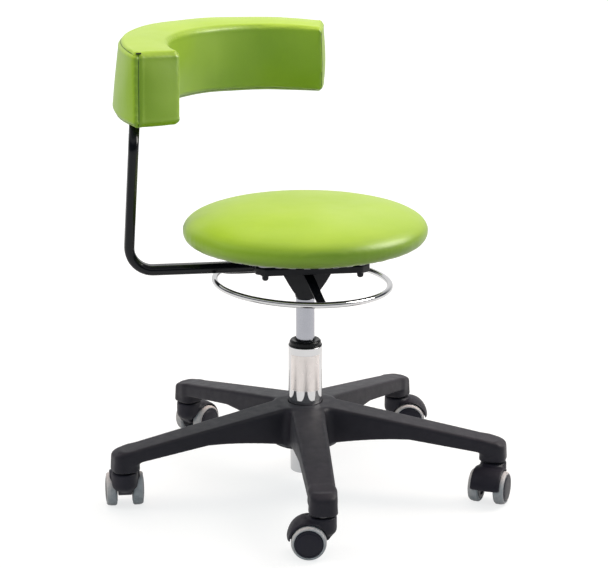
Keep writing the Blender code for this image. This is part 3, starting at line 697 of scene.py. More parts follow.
def star_base():
    reach, cell = 321.0, 1.5
    low = np.array([-reach, -reach, BOSS_LOW - 4.5])
    across_count = int(2 * reach / cell) + 1
    shape = (across_count, across_count, int((HUB_TOP - BOSS_LOW + 10.5) / cell) + 1)
    x, y, z = grid(low, shape, cell, np.float32)
    radius = np.hypot(x, y)
    # fold all five arms onto one
    fifth = 2 * math.pi / 5
    turn = np.arctan2(y, x) - ARM_ANGLE
    turn = turn - fifth * np.round(turn / fifth)
    along = (radius * np.cos(turn)).astype(np.float32)
    across = (radius * np.sin(turn)).astype(np.float32)
    # top and underside of an arm; rise goes from 0 at the stem to 1 at the hub
    rise = np.clip((STEM_R - along) / (STEM_R - 36.0), 0, 1.0)
    top = BOSS_TOP - 0.4 + (HUB_TOP - BOSS_TOP - 1.0) * rise**0.97
    outer = 75.5 + 12.0 * (262.0 - np.minimum(along, 270.0)) / (262.0 - KNEE)
    inner = 87.5 - 14.0 * np.clip((KNEE - along) / 125.0, 0, 1.0) ** 1.7
    under = np.where(along > KNEE, outer, inner)
    # side walls, blended with those of the neighbouring arms
    side = None
    for shift in (0.0, fifth, -fifth):
        arm_along = radius * np.cos(turn + shift)
        arm_across = np.abs(radius * np.sin(turn + shift))
        wide = (15.8 + 6.0 * np.maximum(STEM_R - arm_along, 0.0) / 250.0 + 2.9
                - 0.02 * np.maximum(arm_along - STEM_R + 12.0, 0.0) ** 2)
        wall = smax(
            (arm_across - wide).astype(np.float32), (6.0 - arm_along).astype(np.float32), 4.0)
        side = wall if side is None else smin(side, wall, 17.0)
    drop = np.clip((top - z) / 45.0, 0, 1.2)
    arm = smax(side - 2.6 * drop, z - top, 2.2)
    arm = smax(arm, (side + 3.0 + z - top) * 0.7071 - 0.15, 2.0)
    arm = smax(arm, under - z, 3.2)
    arm = smax(arm, along - (STEM_R + 9.0) + 0.006 * across * across, 6.0)
    # hub
    hub_radius = np.interp(z[0, 0], *HUB_PROFILE).astype(np.float32)[None, None, :]
    hub = smax(radius - hub_radius, z - HUB_TOP + 0.3, 4.0)
    hub = smax(hub, HUB_LOW - z, 2.5)
    body = smin(arm, hub, 7.0)
    # tip: a rounded block round the castor stem
    corner = 13.0
    tip_x = np.abs(along - (STEM_R - 1.2)) - 19.4 + corner
    tip_y = np.abs(across) - 19.8 + corner
    tip = (np.hypot(np.maximum(tip_x, 0), np.maximum(tip_y, 0))
           + np.minimum(np.maximum(tip_x, tip_y), 0) - corner)
    tip = tip + 0.055 * (z - 72.0)
    crown = top - 1.6 - 0.010 * np.maximum(along - (STEM_R - 2.0), 0) ** 2
    tip = smax(tip, z - crown, 5.5)
    tip = smax(tip, BOSS_LOW - z, 2.0)
    body = smin(body, tip, 7.0)
    body = smax(body, z - np.maximum(top, 80.0), 1.2)
    # hollows under the arms
    half_width = 12.9 + 2.4 * drop + 2.4 * rise
    for start, end in POCKETS:
        ends = np.maximum(start - along, along - end)
        pocket = smax(np.abs(across) - half_width, ends, 3.0)
        pocket = smax(pocket, z - (top - 5.0), 3.0)
        body = smax(body, -pocket, 0.8)
    # bores for the column and the castor stems
    body = smax(body, -(radius - (TUBE_R + 0.35)), 1.6)
    stem = np.hypot(along - STEM_R, across) - 6.0
    body = smax(body, -np.maximum(stem, z - 82.0), 0.5)
    made = piece("star_base_shell", surface(body, low, cell), NYLON, "base", "black_nylon",
                 "star_base", weighted=False)
    relax(made, 2, 0.35)


star_base()


# ================================================================ column
# Ring sections: (radius, height, corner radius)
def column():
    tube_low, tube_high = (corner[2] for corner in mm_box("column_outer_tube"))
    profile = [
        (TUBE_R, tube_high + 3.8, 0.9), (TUBE_R, 72.0, 3.0), (22.9, 60.0, 6.0),
        (22.5, tube_low, 2.4), (6.6, tube_low, 0.4), (6.6, tube_low + 2.6, 0.3),
        (21.0, tube_low + 3.0, 1.0), (21.3, 60.0, 2.0), (23.9, 74.0, 2.0),
        (23.9, tube_high + 3.8, 0.4)]
    piece("column_tube_chrome", lathe(profile, 128, step=10.0), CHROME, "base", "chrome",
          "column_outer_tube")

    bush_top = mm_box("guide_bush")[1][2]
    profile = [
        (14.4, bush_top - 1.0, 0.5), (14.4, 150.0), (23.5, 150.0), (23.5, tube_high + 4.1, 0.1),
        (25.2, tube_high + 4.1, 0.4), (25.4, 219.7, 0.8), (24.1, 220.9, 0.8),
        (23.5, 225.6, 2.2), (21.2, bush_top, 1.4), (17.2, bush_top - 0.5, 1.0),
        (15.0, bush_top - 2.0, 0.4)]
    piece("guide_bush_flare", lathe(profile, 112, step=12.0), ACETAL, "base", "black_acetal",
          "guide_bush")

    spring_low, spring_top = (corner[2] for corner in mm_box("pressure_tube"))
    profile = [
        (3.3, spring_top), (3.3, 314.5), (9.8, 314.5), (9.8, 290.0), (12.4, 287.0),
        (12.4, spring_low), (13.4, spring_low, 0.3), (14.0, spring_low + 1.5, 0.4),
        (14.0, 291.6, 0.5), (12.7, 293.2, 0.5), (11.8, spring_top, 0.6)]
    piece("gas_spring_tube", lathe(profile, 112, step=12.0), SATIN, "lift", "satin_steel",
          "pressure_tube")


def column_film():
    """A blank film round the front of the tube."""
    low, high = 152.0, 207.5
    inner, outer = TUBE_R + 0.02, TUBE_R + 0.16
    middle, sweep = -98.5, 112.0  # degrees
    part = lathe([(inner, low), (outer, low), (outer, high), (inner, high)], 40,
                 start=middle - sweep / 2, sweep=sweep)
    piece("column_blank_film", part, FILM, "base", "chrome")


column()
column_film()


# ================================================================ castors
HOOD_TOP = float(mm_box("castor_1_hood")[1][2])
WHEEL_X = 20.0  # trail of the wheel axle behind the stem
WHEEL_Z = joint_at("castor_1_spin_left")[2]
# Web between the wheels: x, z
WEB = [
    (-14.0, 42.0), (-12.8, 32.0), (-8.0, 25.0), (3.0, 19.6), (26.0, 19.3), (33.0, 26.0),
    (39.0, 37.0), (30.0, 45.0), (12.0, 50.0), (-6.0, 50.5), (-13.0, 47.0)]
# Half of a twin wheel: radius, distance from the middle, corner radius
WHEEL_HUB = [
    (0.0, 28.75), (9.0, 28.6, 30.0), (16.0, 27.9, 9.0), (17.0, 27.2, 0.5), (18.0, 27.6, 0.5),
    (19.6, 27.2, 0.8), (20.45, 26.0, 0.5), (20.45, 12.0, 1.0), (19.2, 11.0, 0.5),
    (15.0, 11.0, 0.6), (13.8, 13.4, 0.8), (8.4, 13.4, 0.8), (7.4, 11.0, 0.6),
    (3.4, 11.0, 0.3), (3.4, 26.2), (0.0, 26.2)]
WHEEL_TYRE = [
    (20.5, 11.6, 0.3), (23.0, 11.6, 1.2), (25.0, 13.8, 2.2), (25.0, 20.8, 6.0),
    (24.1, 25.0, 4.0), (22.2, 27.2, 1.2), (20.5, 27.2, 0.5)]
# Castor stem: radius, height, corner radius
STEM = [
    (0, 79.5), (5.5, 79.5, 0.6), (5.5, HOOD_TOP + 2.6, 0.4), (13.4, HOOD_TOP + 2.6, 0.5),
    (13.4, HOOD_TOP + 0.6, 0.5), (5.5, HOOD_TOP + 0.6, 0.3), (5.5, 36.5, 0.8), (0, 36.5)]


def castor_hood():
    """The hood about its stem, with the wheels towards +X."""
    cell = 0.6
    low = np.array([-24.0, -28.2, 9.0])
    shape = [int(size / cell) for size in (76.0, 56.4, 52.0)]
    x, y, z = grid(low, shape, cell)
    from_axle = np.hypot(x - WHEEL_X, z - WHEEL_Z)
    from_stem = np.hypot(x, y)
    aside = np.abs(y)
    # the collar runs down in front of the wheels and closes in a rounded cup
    collar = smax(from_stem - 19.7 + 0.012 * (z - 40.0), z - HOOD_TOP, 3.0)
    cup = np.sqrt(np.minimum(x, 0) ** 2 + y * y + (1.35 * np.minimum(z - 41.0, 0)) ** 2) - 19.7
    collar = smax(collar, cup, 2.0)
    collar = smax(collar, 24.5 - z, 5.0)
    # the fender covers the upper half of the wheels
    fender = smax(from_axle - 31.1 + 0.0052 * y * y, aside - 23.4, 4.5)
    fender = smax(fender, WHEEL_Z + 1.5 - z, 2.5)
    fender = smax(fender, -(x - 2.0), 6.0)
    body = smin(collar, fender, 5.0)
    wheel_room = np.maximum(from_axle - 26.4, 10.5 - aside)
    body = smax(body, -wheel_room, 0.7)
    web = polygon_distance(x[:, :, 0], z[0], WEB)
    body = smin(body, smax(web[:, None, :], aside - 10.2, 1.6), 1.6)
    # bores for the axle and the stem
    body = smax(body, -np.maximum(from_axle - 3.5, aside - 14.0), 0.5)
    body = smax(body, -np.maximum(from_stem - 6.2, 34.5 - z), 0.6)
    return surface(body, low, cell)


def wheel_part(profile, sign, step, closed):
    mirrored = [(radius, along * sign, *corner) for radius, along, *corner in profile]
    return lathe(mirrored, 72, step, closed, axis="Y", start=-87.5)


def castors():
    # what, part, material, end of the body's name, slot
    kinds = [("hood", castor_hood(), HOOD, "", "black_nylon")]
    for word, sign in (("left", 1), ("right", -1)):
        hub = wheel_part(WHEEL_HUB, sign, 15.0, False)
        tyre = wheel_part(WHEEL_TYRE, sign, 12.0, True)
        kinds.append((f"hub_{word}", hub, DISC, f"_wheel_{word}", "black_nylon"))
        kinds.append((f"tyre_{word}", tyre, TREAD, f"_wheel_{word}", "grey_tread"))
    stem_part = lathe(STEM, 40, closed=False)
    meshes = {}
    for n, stem in enumerate(STEMS, 1):
        axle = joint_at(f"castor_{n}_spin_left")
        trail = math.degrees(math.atan2(axle[1] - stem[1], axle[0] - stem[0]))
        for what, part, mat, ending, slot in kinds:
            name, body, is_hood = f"castor_{n}_{what}", f"castor_{n}{ending}", what == "hood"
            if what in meshes:
                made = bpy.data.objects.new(name + "_fine", meshes[what])
                bpy.context.scene.collection.objects.link(made)
            else:
                made = to_object(name + "_fine", *part, mat)
            place(made, body, slot, name, stem if is_hood else axle, trail, not is_hood)
            if is_hood and what not in meshes:
                relax(made, 2, 0.4)
                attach(made, body)
            meshes[what] = made.data
        piece(f"castor_{n}_stem_fine", stem_part, ZINC, "base", "machined_steel",
              f"castor_{n}_stem", stem)


castors()


# ================================================================ seat plate
PLATE_LO, PLATE_HI = mm_box("seat_plate")
PLATE_X = float((PLATE_LO[0] + PLATE_HI[0]) / 2)
PLATE_HALF_X, PLATE_HALF_Y = (float(size / 2) for size in (PLATE_HI - PLATE_LO)[:2])
PLATE_LOW, PLATE_TOP = float(PLATE_LO[2]), float(PLATE_HI[2])
SHEET_LOW = PLATE_TOP - 3.0  # underside of the sheet inside the skirt
# Section of the rim, from the top outside to the sheet's underside: inset, z, corner radius
PLATE_RIM = (
    (4.2, PLATE_TOP, 6.0), (1.8, PLATE_TOP - 0.45, 7.0), (0.5, PLATE_TOP - 1.6, 8.0),
    (0.0, PLATE_TOP - 3.4, 8.0), (0.0, PLATE_LOW + 0.7, 8.0), (0.35, PLATE_LOW + 0.1, 8.0),
    (1.0, PLATE_LOW, 8.0), (2.0, PLATE_LOW + 0.1, 7.0), (2.5, PLATE_LOW + 0.8, 7.0),
    (2.6, SHEET_LOW - 1.8, 6.5), (3.2, SHEET_LOW - 0.5, 6.0), (4.6, SHEET_LOW, 5.5))


def chamfered(inset, radius):
    """The plate's outline, with its four corners cut off."""
    cut = 14.0 - inset * 0.4
    end_x, end_y = PLATE_HALF_X - inset, PLATE_HALF_Y - inset
    points = [
        (end_x, end_y - cut), (end_x - cut, end_y), (-end_x + cut, end_y), (-end_x, end_y - cut),
        (-end_x, -end_y + cut), (-end_x + cut, -end_y), (end_x - cut, -end_y),
        (end_x, -end_y + cut)]
    return [(x + PLATE_X, y) for x, y in fillet([(x, y, radius) for x, y in points], True, 13.0)]


def seat_plate():
    """Pressed steel plate: rounded shoulder, a skirt all round and a hollow underside."""
    parts = [skin([[(x, y, z) for x, y in chamfered(inset, radius)]
                   for inset, z, radius in PLATE_RIM])]
    # two pressed ribs under the sheet, beside the bracket
    for y in (-31.0, 31.0):
        rib = rounded_rect(52.0, 4.0, 3.9, (PLATE_X, y))
        parts.append(slab(rib, SHEET_LOW - 2.6, SHEET_LOW + 1.0, edge=1.2))
    piece("seat_plate_pressed", join(*parts), SATIN_BLACK, "lift", "satin_black_paint",
          "seat_plate")


def plate_bolt(name):
    low, high = mm_box(name)
    tip = float(low[2])
    washer = lathe([
        (3.6, SHEET_LOW - 0.1), (8.6, SHEET_LOW - 0.1, 0.3), (8.6, SHEET_LOW - 1.7, 0.5),
        (3.6, SHEET_LOW - 1.7)], 36)
    angles = [math.radians(60 * i + 15) for i in range(6)]
    hexagon = fillet([(6.6 * math.cos(a), 6.6 * math.sin(a), 0.5) for a in angles], True, 30.0)
    nut = slab(hexagon, tip + 8.6, SHEET_LOW - 1.6, edge=0.7)
    flange = lathe([
        (0, tip + 9.4), (7.7, tip + 9.4, 0.4), (6.9, tip + 8.0, 0.8), (5.0, tip + 6.6, 1.2),
        (4.6, tip + 1.8, 1.6), (2.8, tip, 1.4), (0, tip)], 32, step=12.0, closed=False)
    at = ((low[0] + high[0]) / 2, (low[1] + high[1]) / 2, 0.0)
    piece(f"{name}_fine", join(washer, nut, flange), SATIN_BLACK, "lift", "machined_steel",
          name, at)


seat_plate()
for n in range(1, 5):
    plate_bolt(f"plate_bolt_{n}")


# ================================================================ column bracket
WALL_Y, WALL = 15.9, 3.0  # distance of the side walls from the axis, and their thickness
WALL_TOP = SHEET_LOW + 0.6
# Edges of the side walls: z, left x, right x
FRONT_WALL = [
    (296.0, -12.4, 12.4), (297.0, -13.4, 13.4), (306.0, -20.4, 20.0), (318.0, -27.6, 29.6),
    (326.0, -32.0, 35.0), (334.0, -36.5, 40.0), (335.5, -36.9, 40.5), (PLATE_LOW, -36.9, 40.5),
    (WALL_TOP, -36.9, 40.5)]
BACK_WALL = [
    (296.0, -12.4, 12.4), (306.0, -20.0, 20.0), (318.0, -27.4, 27.4), (334.0, -36.0, 36.0),
    (WALL_TOP, -36.0, 36.0)]


def bent_wall(rows, side):
    """A side wall, folded towards the axis outside x = 12; side is -1 in front, 1 at the back."""
    rings = []
    for z, left, right in rows:
        stations = [left] + [x for x in (-13.0, -11.5, 11.5, 13.0) if left < x < right] + [right]
        while len(stations) < 6:
            stations.insert(1, stations[0] + (stations[1] - stations[0]) * 0.3)
        line = [(x, side * (WALL_Y - 0.30 * max(0.0, abs(x) - 12.0))) for x in stations]
        ring = [(x, y - WALL / 2, z) for x, y in line]
        rings.append(ring + [(x, y + WALL / 2, z) for x, y in reversed(line)])
    return skin(rings)


def bracket():
    socket = lathe([
        (12.95, 322.0, 0.3), (12.95, 293.2, 0.4), (14.6, 293.2, 0.9), (17.2, 306.0, 2.0),
        (17.2, 322.0, 0.3)], 64, step=12.0)
    parts = [socket, bent_wall(FRONT_WALL, -1), bent_wall(BACK_WALL, 1)]
    # folded feet where the side walls meet the plate
    for side in (-1, 1):
        foot = rounded_rect(34.0, 6.5, 2.0, (0.0, side * (WALL_Y + 5.0)))
        parts.append(slab(foot, SHEET_LOW - 2.2, SHEET_LOW + 0.4, edge=0.6, steps=2))
    # pivot pin of the release lever, through both side walls
    pin = lathe([
        (0, -20.4), (2.6, -20.4), (3.4, -19.6, 0.4), (3.4, 19.6, 0.4), (2.6, 20.4), (0, 20.4)],
        24, step=20.0, closed=False, axis="Y")
    parts.append(moved(pin, joint_at("ring_tilt") * (1, 0, 1)))
    made = piece("column_bracket_fine", join(*parts), SATIN_BLACK, "lift", "satin_black_paint",
                 "taper_socket")
    bevel = made.modifiers.new("edge", "BEVEL")
    bevel.width = 0.6 * MM
    bevel.segments = 2
    bevel.limit_method = "ANGLE"
    bevel.angle_limit = math.radians(35)
    # the bevel comes before the weighted normals
    made.modifiers.move(1, 0)


bracket()

# ================================================================ release ring
RING_LO, RING_HI = mm_box("release_ring")
RING_ROD = 4.5
RING_X, RING_Y, RING_Z = (RING_LO + RING_HI) / 2
RING_R = float(RING_HI[0] - RING_LO[0]) / 2 - RING_ROD
RING_SLOPE = (-0.0405, 0.0061)  # rise along x and y
SPOKE_Z = 332.3  # height of the spokes at the column


def ring_z(x, y):
    return RING_Z + RING_SLOPE[0] * (x - RING_X) + RING_SLOPE[1] * (y - RING_Y)


def release_ring():
    rings = []
    for i in range(192):
        angle = 2 * math.pi * i / 192
        ring = []
        for j in range(24):
            around = 2 * math.pi * j / 24
            radius = RING_R + RING_ROD * math.cos(around)
            x, y = RING_X + radius * math.cos(angle), RING_Y + radius * math.sin(angle)
            ring.append((x, y, ring_z(x, y) + RING_ROD * math.sin(around)))
        rings.append(ring)
    piece("release_ring_chrome", skin(rings, closed=True), CHROME, "ring", "chrome",
          "release_ring", weighted=False)


def spoke(angle, half_width=7.2, thick=2.4, start=4.0, steps=26):
    """A flat spoke at an angle in degrees, from the column out to the ring."""
    cos, sin = math.cos(math.radians(angle)), math.sin(math.radians(angle))
    along = RING_X * cos + RING_Y * sin
    across = -RING_X * sin + RING_Y * cos
    reach = along + math.sqrt(RING_R**2 - across**2) - RING_ROD + 0.6
    drop = ring_z(reach * cos, reach * sin) - 0.4 - SPOKE_Z
    rings = []
    for i in range(steps + 1):
        share = i / steps
        radius = start + (reach - start) * share
        bend = min(1.0, max(0.0, (radius - 24.0) / (reach - 34.0)))
        base = SPOKE_Z + drop * (smoothstep(0, 1, bend) * 0.45 + bend * 0.55)
        width = half_width * (1.0 - 0.10 * share)
        if i == steps:
            width *= 0.9
        ring = []
        for side, up in rounded_rect(width, thick / 2, 0.9, step=30.0):
            z = base + up - 0.9 * (1 - (side / width) ** 2) * bend
            ring.append((radius * cos - side * sin, radius * sin + side * cos, z))
        rings.append(ring)
    return skin(rings)


def ring_spider():
    disc = lathe([(0, 333.7), (12.7, 333.7, 0.6), (12.7, 330.9, 0.6), (0, 330.9)], 48,
                 step=20.0, closed=False)
    spokes = [spoke(angle) for angle in (-86.8, 33.2, 153.2)]
    piece("ring_spider_fine", join(disc, *spokes), SATIN_BLACK, "ring", "satin_black_paint",
          "ring_spider")


def release_button():
    low, top = (corner[2] for corner in mm_box("release_button"))
    part = lathe([
        (0, top), (2.0, top, 0.5), (2.6, top - 0.9, 0.5), (2.6, low + 0.2, 0.3), (0, low + 0.2)],
        32, step=20.0, closed=False)
    piece("release_button_fine", part, ZINC, "button", "machined_steel", "release_button")


release_ring()
ring_spider()
release_button()


# ================================================================ turntable
def turntable():
    low, top = (corner[2] for corner in mm_box("turntable_lower"))
    sheet = slab(rounded_rect(81.5, 54.5, 11.0, (PLATE_X, 0.0)), low, low + 2.0, 0.5, 2)
    race = lathe([
        (68.0, low + 1.0), (68.0, top - 2.6, 1.2), (60.0, top, 2.5), (52.0, top, 1.0),
        (52.0, low + 1.0)], 96, step=12.0)
    piece("turntable_lower_fine", join(sheet, race), ZINC, "lift", "machined_steel",
          "turntable_lower")
    low, top = (corner[2] for corner in mm_box("turntable_upper"))
    upper = lathe([
        (72.0, low, 1.0), (74.0, 373.5, 1.5), (88.0, 374.3, 0.6), (88.0, top, 0.6),
        (44.0, top, 0.6), (44.0, 373.5, 1.0), (50.0, low, 1.0)], 96, step=15.0)
    piece("turntable_upper_fine", upper, ZINC, "seat", "machined_steel", "turntable_upper")


turntable()

# ================================================================ support bar
BAR_LO, BAR_HI = mm_box("support_bar")
BAR_THICK, BAR_DEEP = 15.0, float(BAR_HI[1] - BAR_LO[1])
BAR_Y = float(BAR_LO[1] + BAR_HI[1]) / 2
BAR_Z = float(BAR_LO[2]) + BAR_THICK / 2
BAR_END = float(BAR_HI[0])
BEND_R = 35.0
POST_LOW_X, POST_TOP_X, POST_TOP = -260.0, -246.0, 576.0
LEAN = math.atan2(POST_TOP_X - POST_LOW_X, float(BAR_HI[2]) - 0.5 - (BAR_Z + BEND_R))


def bar_path():
    """((x, z), (direction x, z)) from the bar's end, round the bend and up the post."""
    turn = math.pi / 2 + LEAN
    centre_x = POST_LOW_X - math.tan(LEAN) * BEND_R + BEND_R * math.tan(turn / 2)
    path = [((x, BAR_Z), (-1.0, 0.0))
            for x in (BAR_END, -60.0, -90.0, -120.0, -150.0, -185.0, -212.0)
            if x > centre_x + 1.0]
    for i in range(25):
        sin, cos = math.sin(turn * i / 24), math.cos(turn * i / 24)
        path.append(((centre_x - BEND_R * sin, BAR_Z + BEND_R - BEND_R * cos), (-cos, sin)))
    up = (math.sin(LEAN), math.cos(LEAN))
    x, z = path[-1][0]
    for share in (0.15, 0.4, 0.7, 1.0):
        run = (POST_TOP - z) / up[1] * share
        path.append(((x + up[0] * run, z + up[1] * run), up))
    return path


def support_bar():
    # section: a flattened tube, two flats joined by half rounds
    flat = BAR_DEEP / 2 - BAR_THICK / 2
    section = []
    for i in range(56):
        cos, sin = math.cos(2 * math.pi * i / 56), math.sin(2 * math.pi * i / 56)
        shift = flat if sin > 1e-9 else -flat if sin < -1e-9 else 0.0
        section.append((BAR_THICK / 2 * cos, BAR_THICK / 2 * sin + shift))
    rings = [[(x - way_z * out, BAR_Y + side, z + way_x * out) for out, side in section]
             for (x, z), (way_x, way_z) in bar_path()]
    piece("support_bar_fine", skin(rings), GLOSS, "lift", "gloss_black_paint", "support_bar")
    # end cap, drawn flat and stood up across x, and the weld to the seat plate
    outline = rounded_rect(BAR_DEEP / 2 - 0.5, BAR_THICK / 2 - 0.5, BAR_THICK / 2 - 0.6,
                           (BAR_Y, BAR_Z), step=12.0)
    verts, faces = slab(outline, 0.0, 3.0, edge=1.2)
    cap = (verts[:, [2, 0, 1]] + (BAR_END - 1.0, 0.0, 0.0), faces)
    weld = slab(rounded_rect(16.0, 8.5, 3.0, (-61.0, BAR_Y)),
                BAR_Z + BAR_THICK / 2 - 1.0, SHEET_LOW + 0.4, 1.0, 2)
    piece("support_bar_end", join(cap, weld), SATIN_BLACK, "lift", "satin_black_paint")


support_bar()

# ================================================================ soft goods
CLOTH = {
    "quality": 5,
    "mass": 0.4,
    "tension_stiffness": 15.0,
    "compression_stiffness": 15.0,
    "shear_stiffness": 8.0,
    "bending_stiffness": 3.0,
    "air_damping": 6.0,
    "use_pressure": True,
}
CLOTH_FRAMES = 20


def inflate(obj, pressure, cap, pinned=None, even=0):
    """Swells a cover as cloth under inner pressure; no point moves further than cap.

    pinned marks the points held still; even is the number of rounds that spread the movement.
    """
    scene = bpy.context.scene
    start = points_of(obj)
    cloth = obj.modifiers.new("cloth", "CLOTH")
    for key, value in CLOTH.items():
        setattr(cloth.settings, key, value)
    cloth.settings.uniform_pressure_force = pressure
    cloth.settings.effector_weights.gravity = 0.0
    if pinned is not None:
        group = obj.vertex_groups.new(name="pin")
        group.add(np.nonzero(pinned)[0].tolist(), 1.0, "REPLACE")
        cloth.settings.vertex_group_mass = "pin"
    cloth.collision_settings.use_collision = False
    cloth.collision_settings.use_self_collision = False
    cloth.point_cache.frame_start = 1
    cloth.point_cache.frame_end = CLOTH_FRAMES
    for k in range(1, CLOTH_FRAMES + 1):
        scene.frame_set(k)
    result = obj.evaluated_get(bpy.context.evaluated_depsgraph_get())
    move = vectors_of(result.to_mesh().vertices, "co") * 1000 - start
    result.to_mesh_clear()
    obj.modifiers.remove(cloth)
    scene.frame_set(1)
    # guards against a simulation that blew up
    if not np.isfinite(move).all():
        return
    if even:
        # a firm foam block swells evenly, so the movement is spread over the neighbours
        ends = np.zeros(len(obj.data.edges) * 2, np.int32)
        obj.data.edges.foreach_get("vertices", ends)
        first, second = ends.reshape(-1, 2).T
        here, there = np.r_[first, second], np.r_[second, first]
        size = len(move)
        count = np.maximum(np.bincount(here, minlength=size), 1)[:, None]
        for _ in range(even):
            total = np.stack([np.bincount(here, weights=move[there, k], minlength=size)
                              for k in range(3)], -1)
            move = 0.4 * move + 0.6 * total / count
    far = np.linalg.norm(move, axis=1)
    move *= (cap * np.tanh(far / cap) / np.maximum(far, 1e-9))[:, None]
    set_points(obj, start + move)


def finish_cover(cover, points, body, node):
    set_points(cover, points)
    cover.data.polygons.foreach_set("use_smooth", [True] * len(cover.data.polygons))
    return place(cover, body, "lime_vinyl", node, weighted=False)


# ---------------------------------------------------------------- seat
SEAT_LO, SEAT_HI = mm_box("seat_cushion")
BOARD_LO, BOARD_HI = mm_box("seat_board")
SEAT_R, BOARD_R = float(SEAT_HI[0]), float(BOARD_HI[0])
SEAT_LOW, SEAT_TOP = float(SEAT_LO[2]), float(SEAT_HI[2])
BOARD_LOW, BOARD_TOP = BOARD_LO[2], BOARD_HI[2]
SEAT_SHRINK = 0.3  # the cover starts this far inside its size
SEAT_MID = 396.0  # height of the widest point
# Pleats round the lower edge: waves in a full turn, phase, share
PLEATS = ((61, 0.0, 0.35), (37, 1.3, 0.35), (23, 0.4, 0.2))


def seat_outline():
    """Half section, from the crown round the rim and up into the board's recess."""
    rim, crown = SEAT_R - SEAT_SHRINK, SEAT_TOP - SEAT_SHRINK
    points = []
    for i in range(41):
        x = math.sin(math.pi / 2 * i / 40) ** 0.9
        rise = max(0.0, 1.0 - x**3.5) ** (1 / 2.2)
        points.append((rim * x, SEAT_MID + (crown - SEAT_MID) * rise))
    for i in range(1, 15):
        angle = math.radians(90 * i / 14)
        points.append((160.0 + (rim - 160.0) * math.cos(angle) ** 0.86,
                       SEAT_MID - (SEAT_MID - SEAT_LOW) * math.sin(angle) ** 0.92))
    recess = BOARD_R + 0.6
    return points + [(recess, SEAT_LOW), (recess, BOARD_TOP + 0.3), (0.0, BOARD_TOP + 0.3)]


def seat_cushion():
    cover = to_object("seat_cushion_cover", *lathe(seat_outline(), 160, closed=False), VINYL)
    remesh = cover.modifiers.new("even", "REMESH")
    remesh.mode = "VOXEL"
    remesh.voxel_size = 4.6 * MM
    remesh.use_smooth_shade = True
    apply_modifiers(cover)
    relax(cover, 4)
    x, y, z = points_of(cover).T
    radius = np.hypot(x, y)
    pinned = (z < 384.0) & (radius < BOARD_R + 9.0)
    pinned |= (z < BOARD_TOP + 4.0) & (radius < BOARD_R + 6.0)
    inflate(cover, pressure=3.0, cap=2.0, pinned=pinned)
    relax(cover, 10, 0.6)
    subdivide(cover)
    relax(cover, 6)
    points = points_of(cover)
    x, y, z = points.T
    radius, angle = np.hypot(x, y), np.arctan2(y, x)
    # the cover is pulled under the board: small pleats that fade out below the rim
    pleat = sum(np.sin(waves * angle + phase) * share for waves, phase, share in PLEATS)
    under = np.exp(-(((z - 379.5) / 3.6) ** 2)) * smoothstep(156.0, 164.0, radius)
    points += normals_of(cover) * (0.45 * pleat * under)[:, None]
    # nothing passes the board or the turntable below
    inner = np.hypot(points[:, 0], points[:, 1]) if False else radius
    lowest = np.where(inner < BOARD_R + 0.4, BOARD_TOP + 0.3, SEAT_LOW)
    points[:, 2] = np.maximum(points[:, 2], lowest)
    finish_cover(cover, points, "seat", "seat_cushion")


def seat_board():
    """Board under the seat, and the staples that ring it in the cover."""
    part = lathe([
        (0, BOARD_TOP), (BOARD_R, BOARD_TOP, 1.0), (BOARD_R, BOARD_LOW, 1.6), (0, BOARD_LOW)],
        128, step=20.0, closed=False)
    piece("seat_board_ply", part, STAINED, "seat", "birch_plywood", "seat_board")
    staple = slab(rounded_rect(0.45, 4.6, 0.4, step=30.0), SEAT_LOW - 0.35, SEAT_LOW + 0.35,
                  edge=0.2, steps=1)
    staple = moved(staple, (BOARD_R + 5.5, 0, 0))
    staples = [moved(staple, turn=360.0 / 48 * i) for i in range(48)]
    piece("seat_cover_staples", join(*staples), ZINC, "seat", "machined_steel", weighted=False)


seat_cushion()
seat_board()

# ---------------------------------------------------------------- pad
PAD_CENTRE = (1.0, 95.0)
PAD_LOW = 549.0
PAD_H = 654.5 - PAD_LOW
PAD_SLOPE = (-0.0473, 0.0283)  # rise along x and y
# (lower face, upper face) of the inner radius, outer radius, near end and far end in degrees
PAD_SIDES = ((198.0, 190.0), (277.0, 265.0), (204.5, 199.5), (72.3, 72.0))
PAD_SHRINK = 0.6  # the cover starts this far inside its size
GROOVE = 2.6  # width of the long seams' grooves, and their inset
END_GROOVE = 2.4


def pad_sides(share):
    """Inner radius, outer radius, near and far angle at a share of the pad's height."""
    return [low + (top - low) * share for low, top in PAD_SIDES]


def pad_frame(x, y, z):
    """(radius, angle in degrees, height above the lower face) about the pad's own axis."""
    x, y = x - PAD_CENTRE[0], y - PAD_CENTRE[1]
    height = z - PAD_LOW - PAD_SLOPE[0] * x - PAD_SLOPE[1] * y
    angle = np.degrees(np.arctan2(y, x))
    angle = np.where(angle < -100.0, angle + 360.0, angle)
    return np.hypot(x, y), angle, height


def pad_world(radius, angle, height):
    x, y = radius * np.cos(np.radians(angle)), radius * np.sin(np.radians(angle))
    z = PAD_LOW + height + PAD_SLOPE[0] * x + PAD_SLOPE[1] * y
    return np.stack([PAD_CENTRE[0] + x, PAD_CENTRE[1] + y, z], -1)


def skew(outer, radius):
    """Degrees by which the far end runs on towards the inner side."""
    return 2.7 * np.clip((outer - radius) / 76.0, 0, 1)


def pad_field(x, y, z):
    radius, angle, height = pad_frame(x, y, z)
    inner, outer, near, far = pad_sides(np.clip(height / PAD_H, -0.2, 1.2))
    inner, outer = inner + PAD_SHRINK, outer - PAD_SHRINK
    far = far - skew(outer, radius)
    wall = smax(radius - outer, inner - radius, 4.0)
    wall = smax(wall, (angle - near) * np.pi / 180 * radius + PAD_SHRINK, 5.0)
    wall = smax(wall, (far - angle) * np.pi / 180 * radius + PAD_SHRINK, 2.2)
    return smax(smax(wall, height - (PAD_H - PAD_SHRINK), 5.0), PAD_SHRINK - height, 5.5)


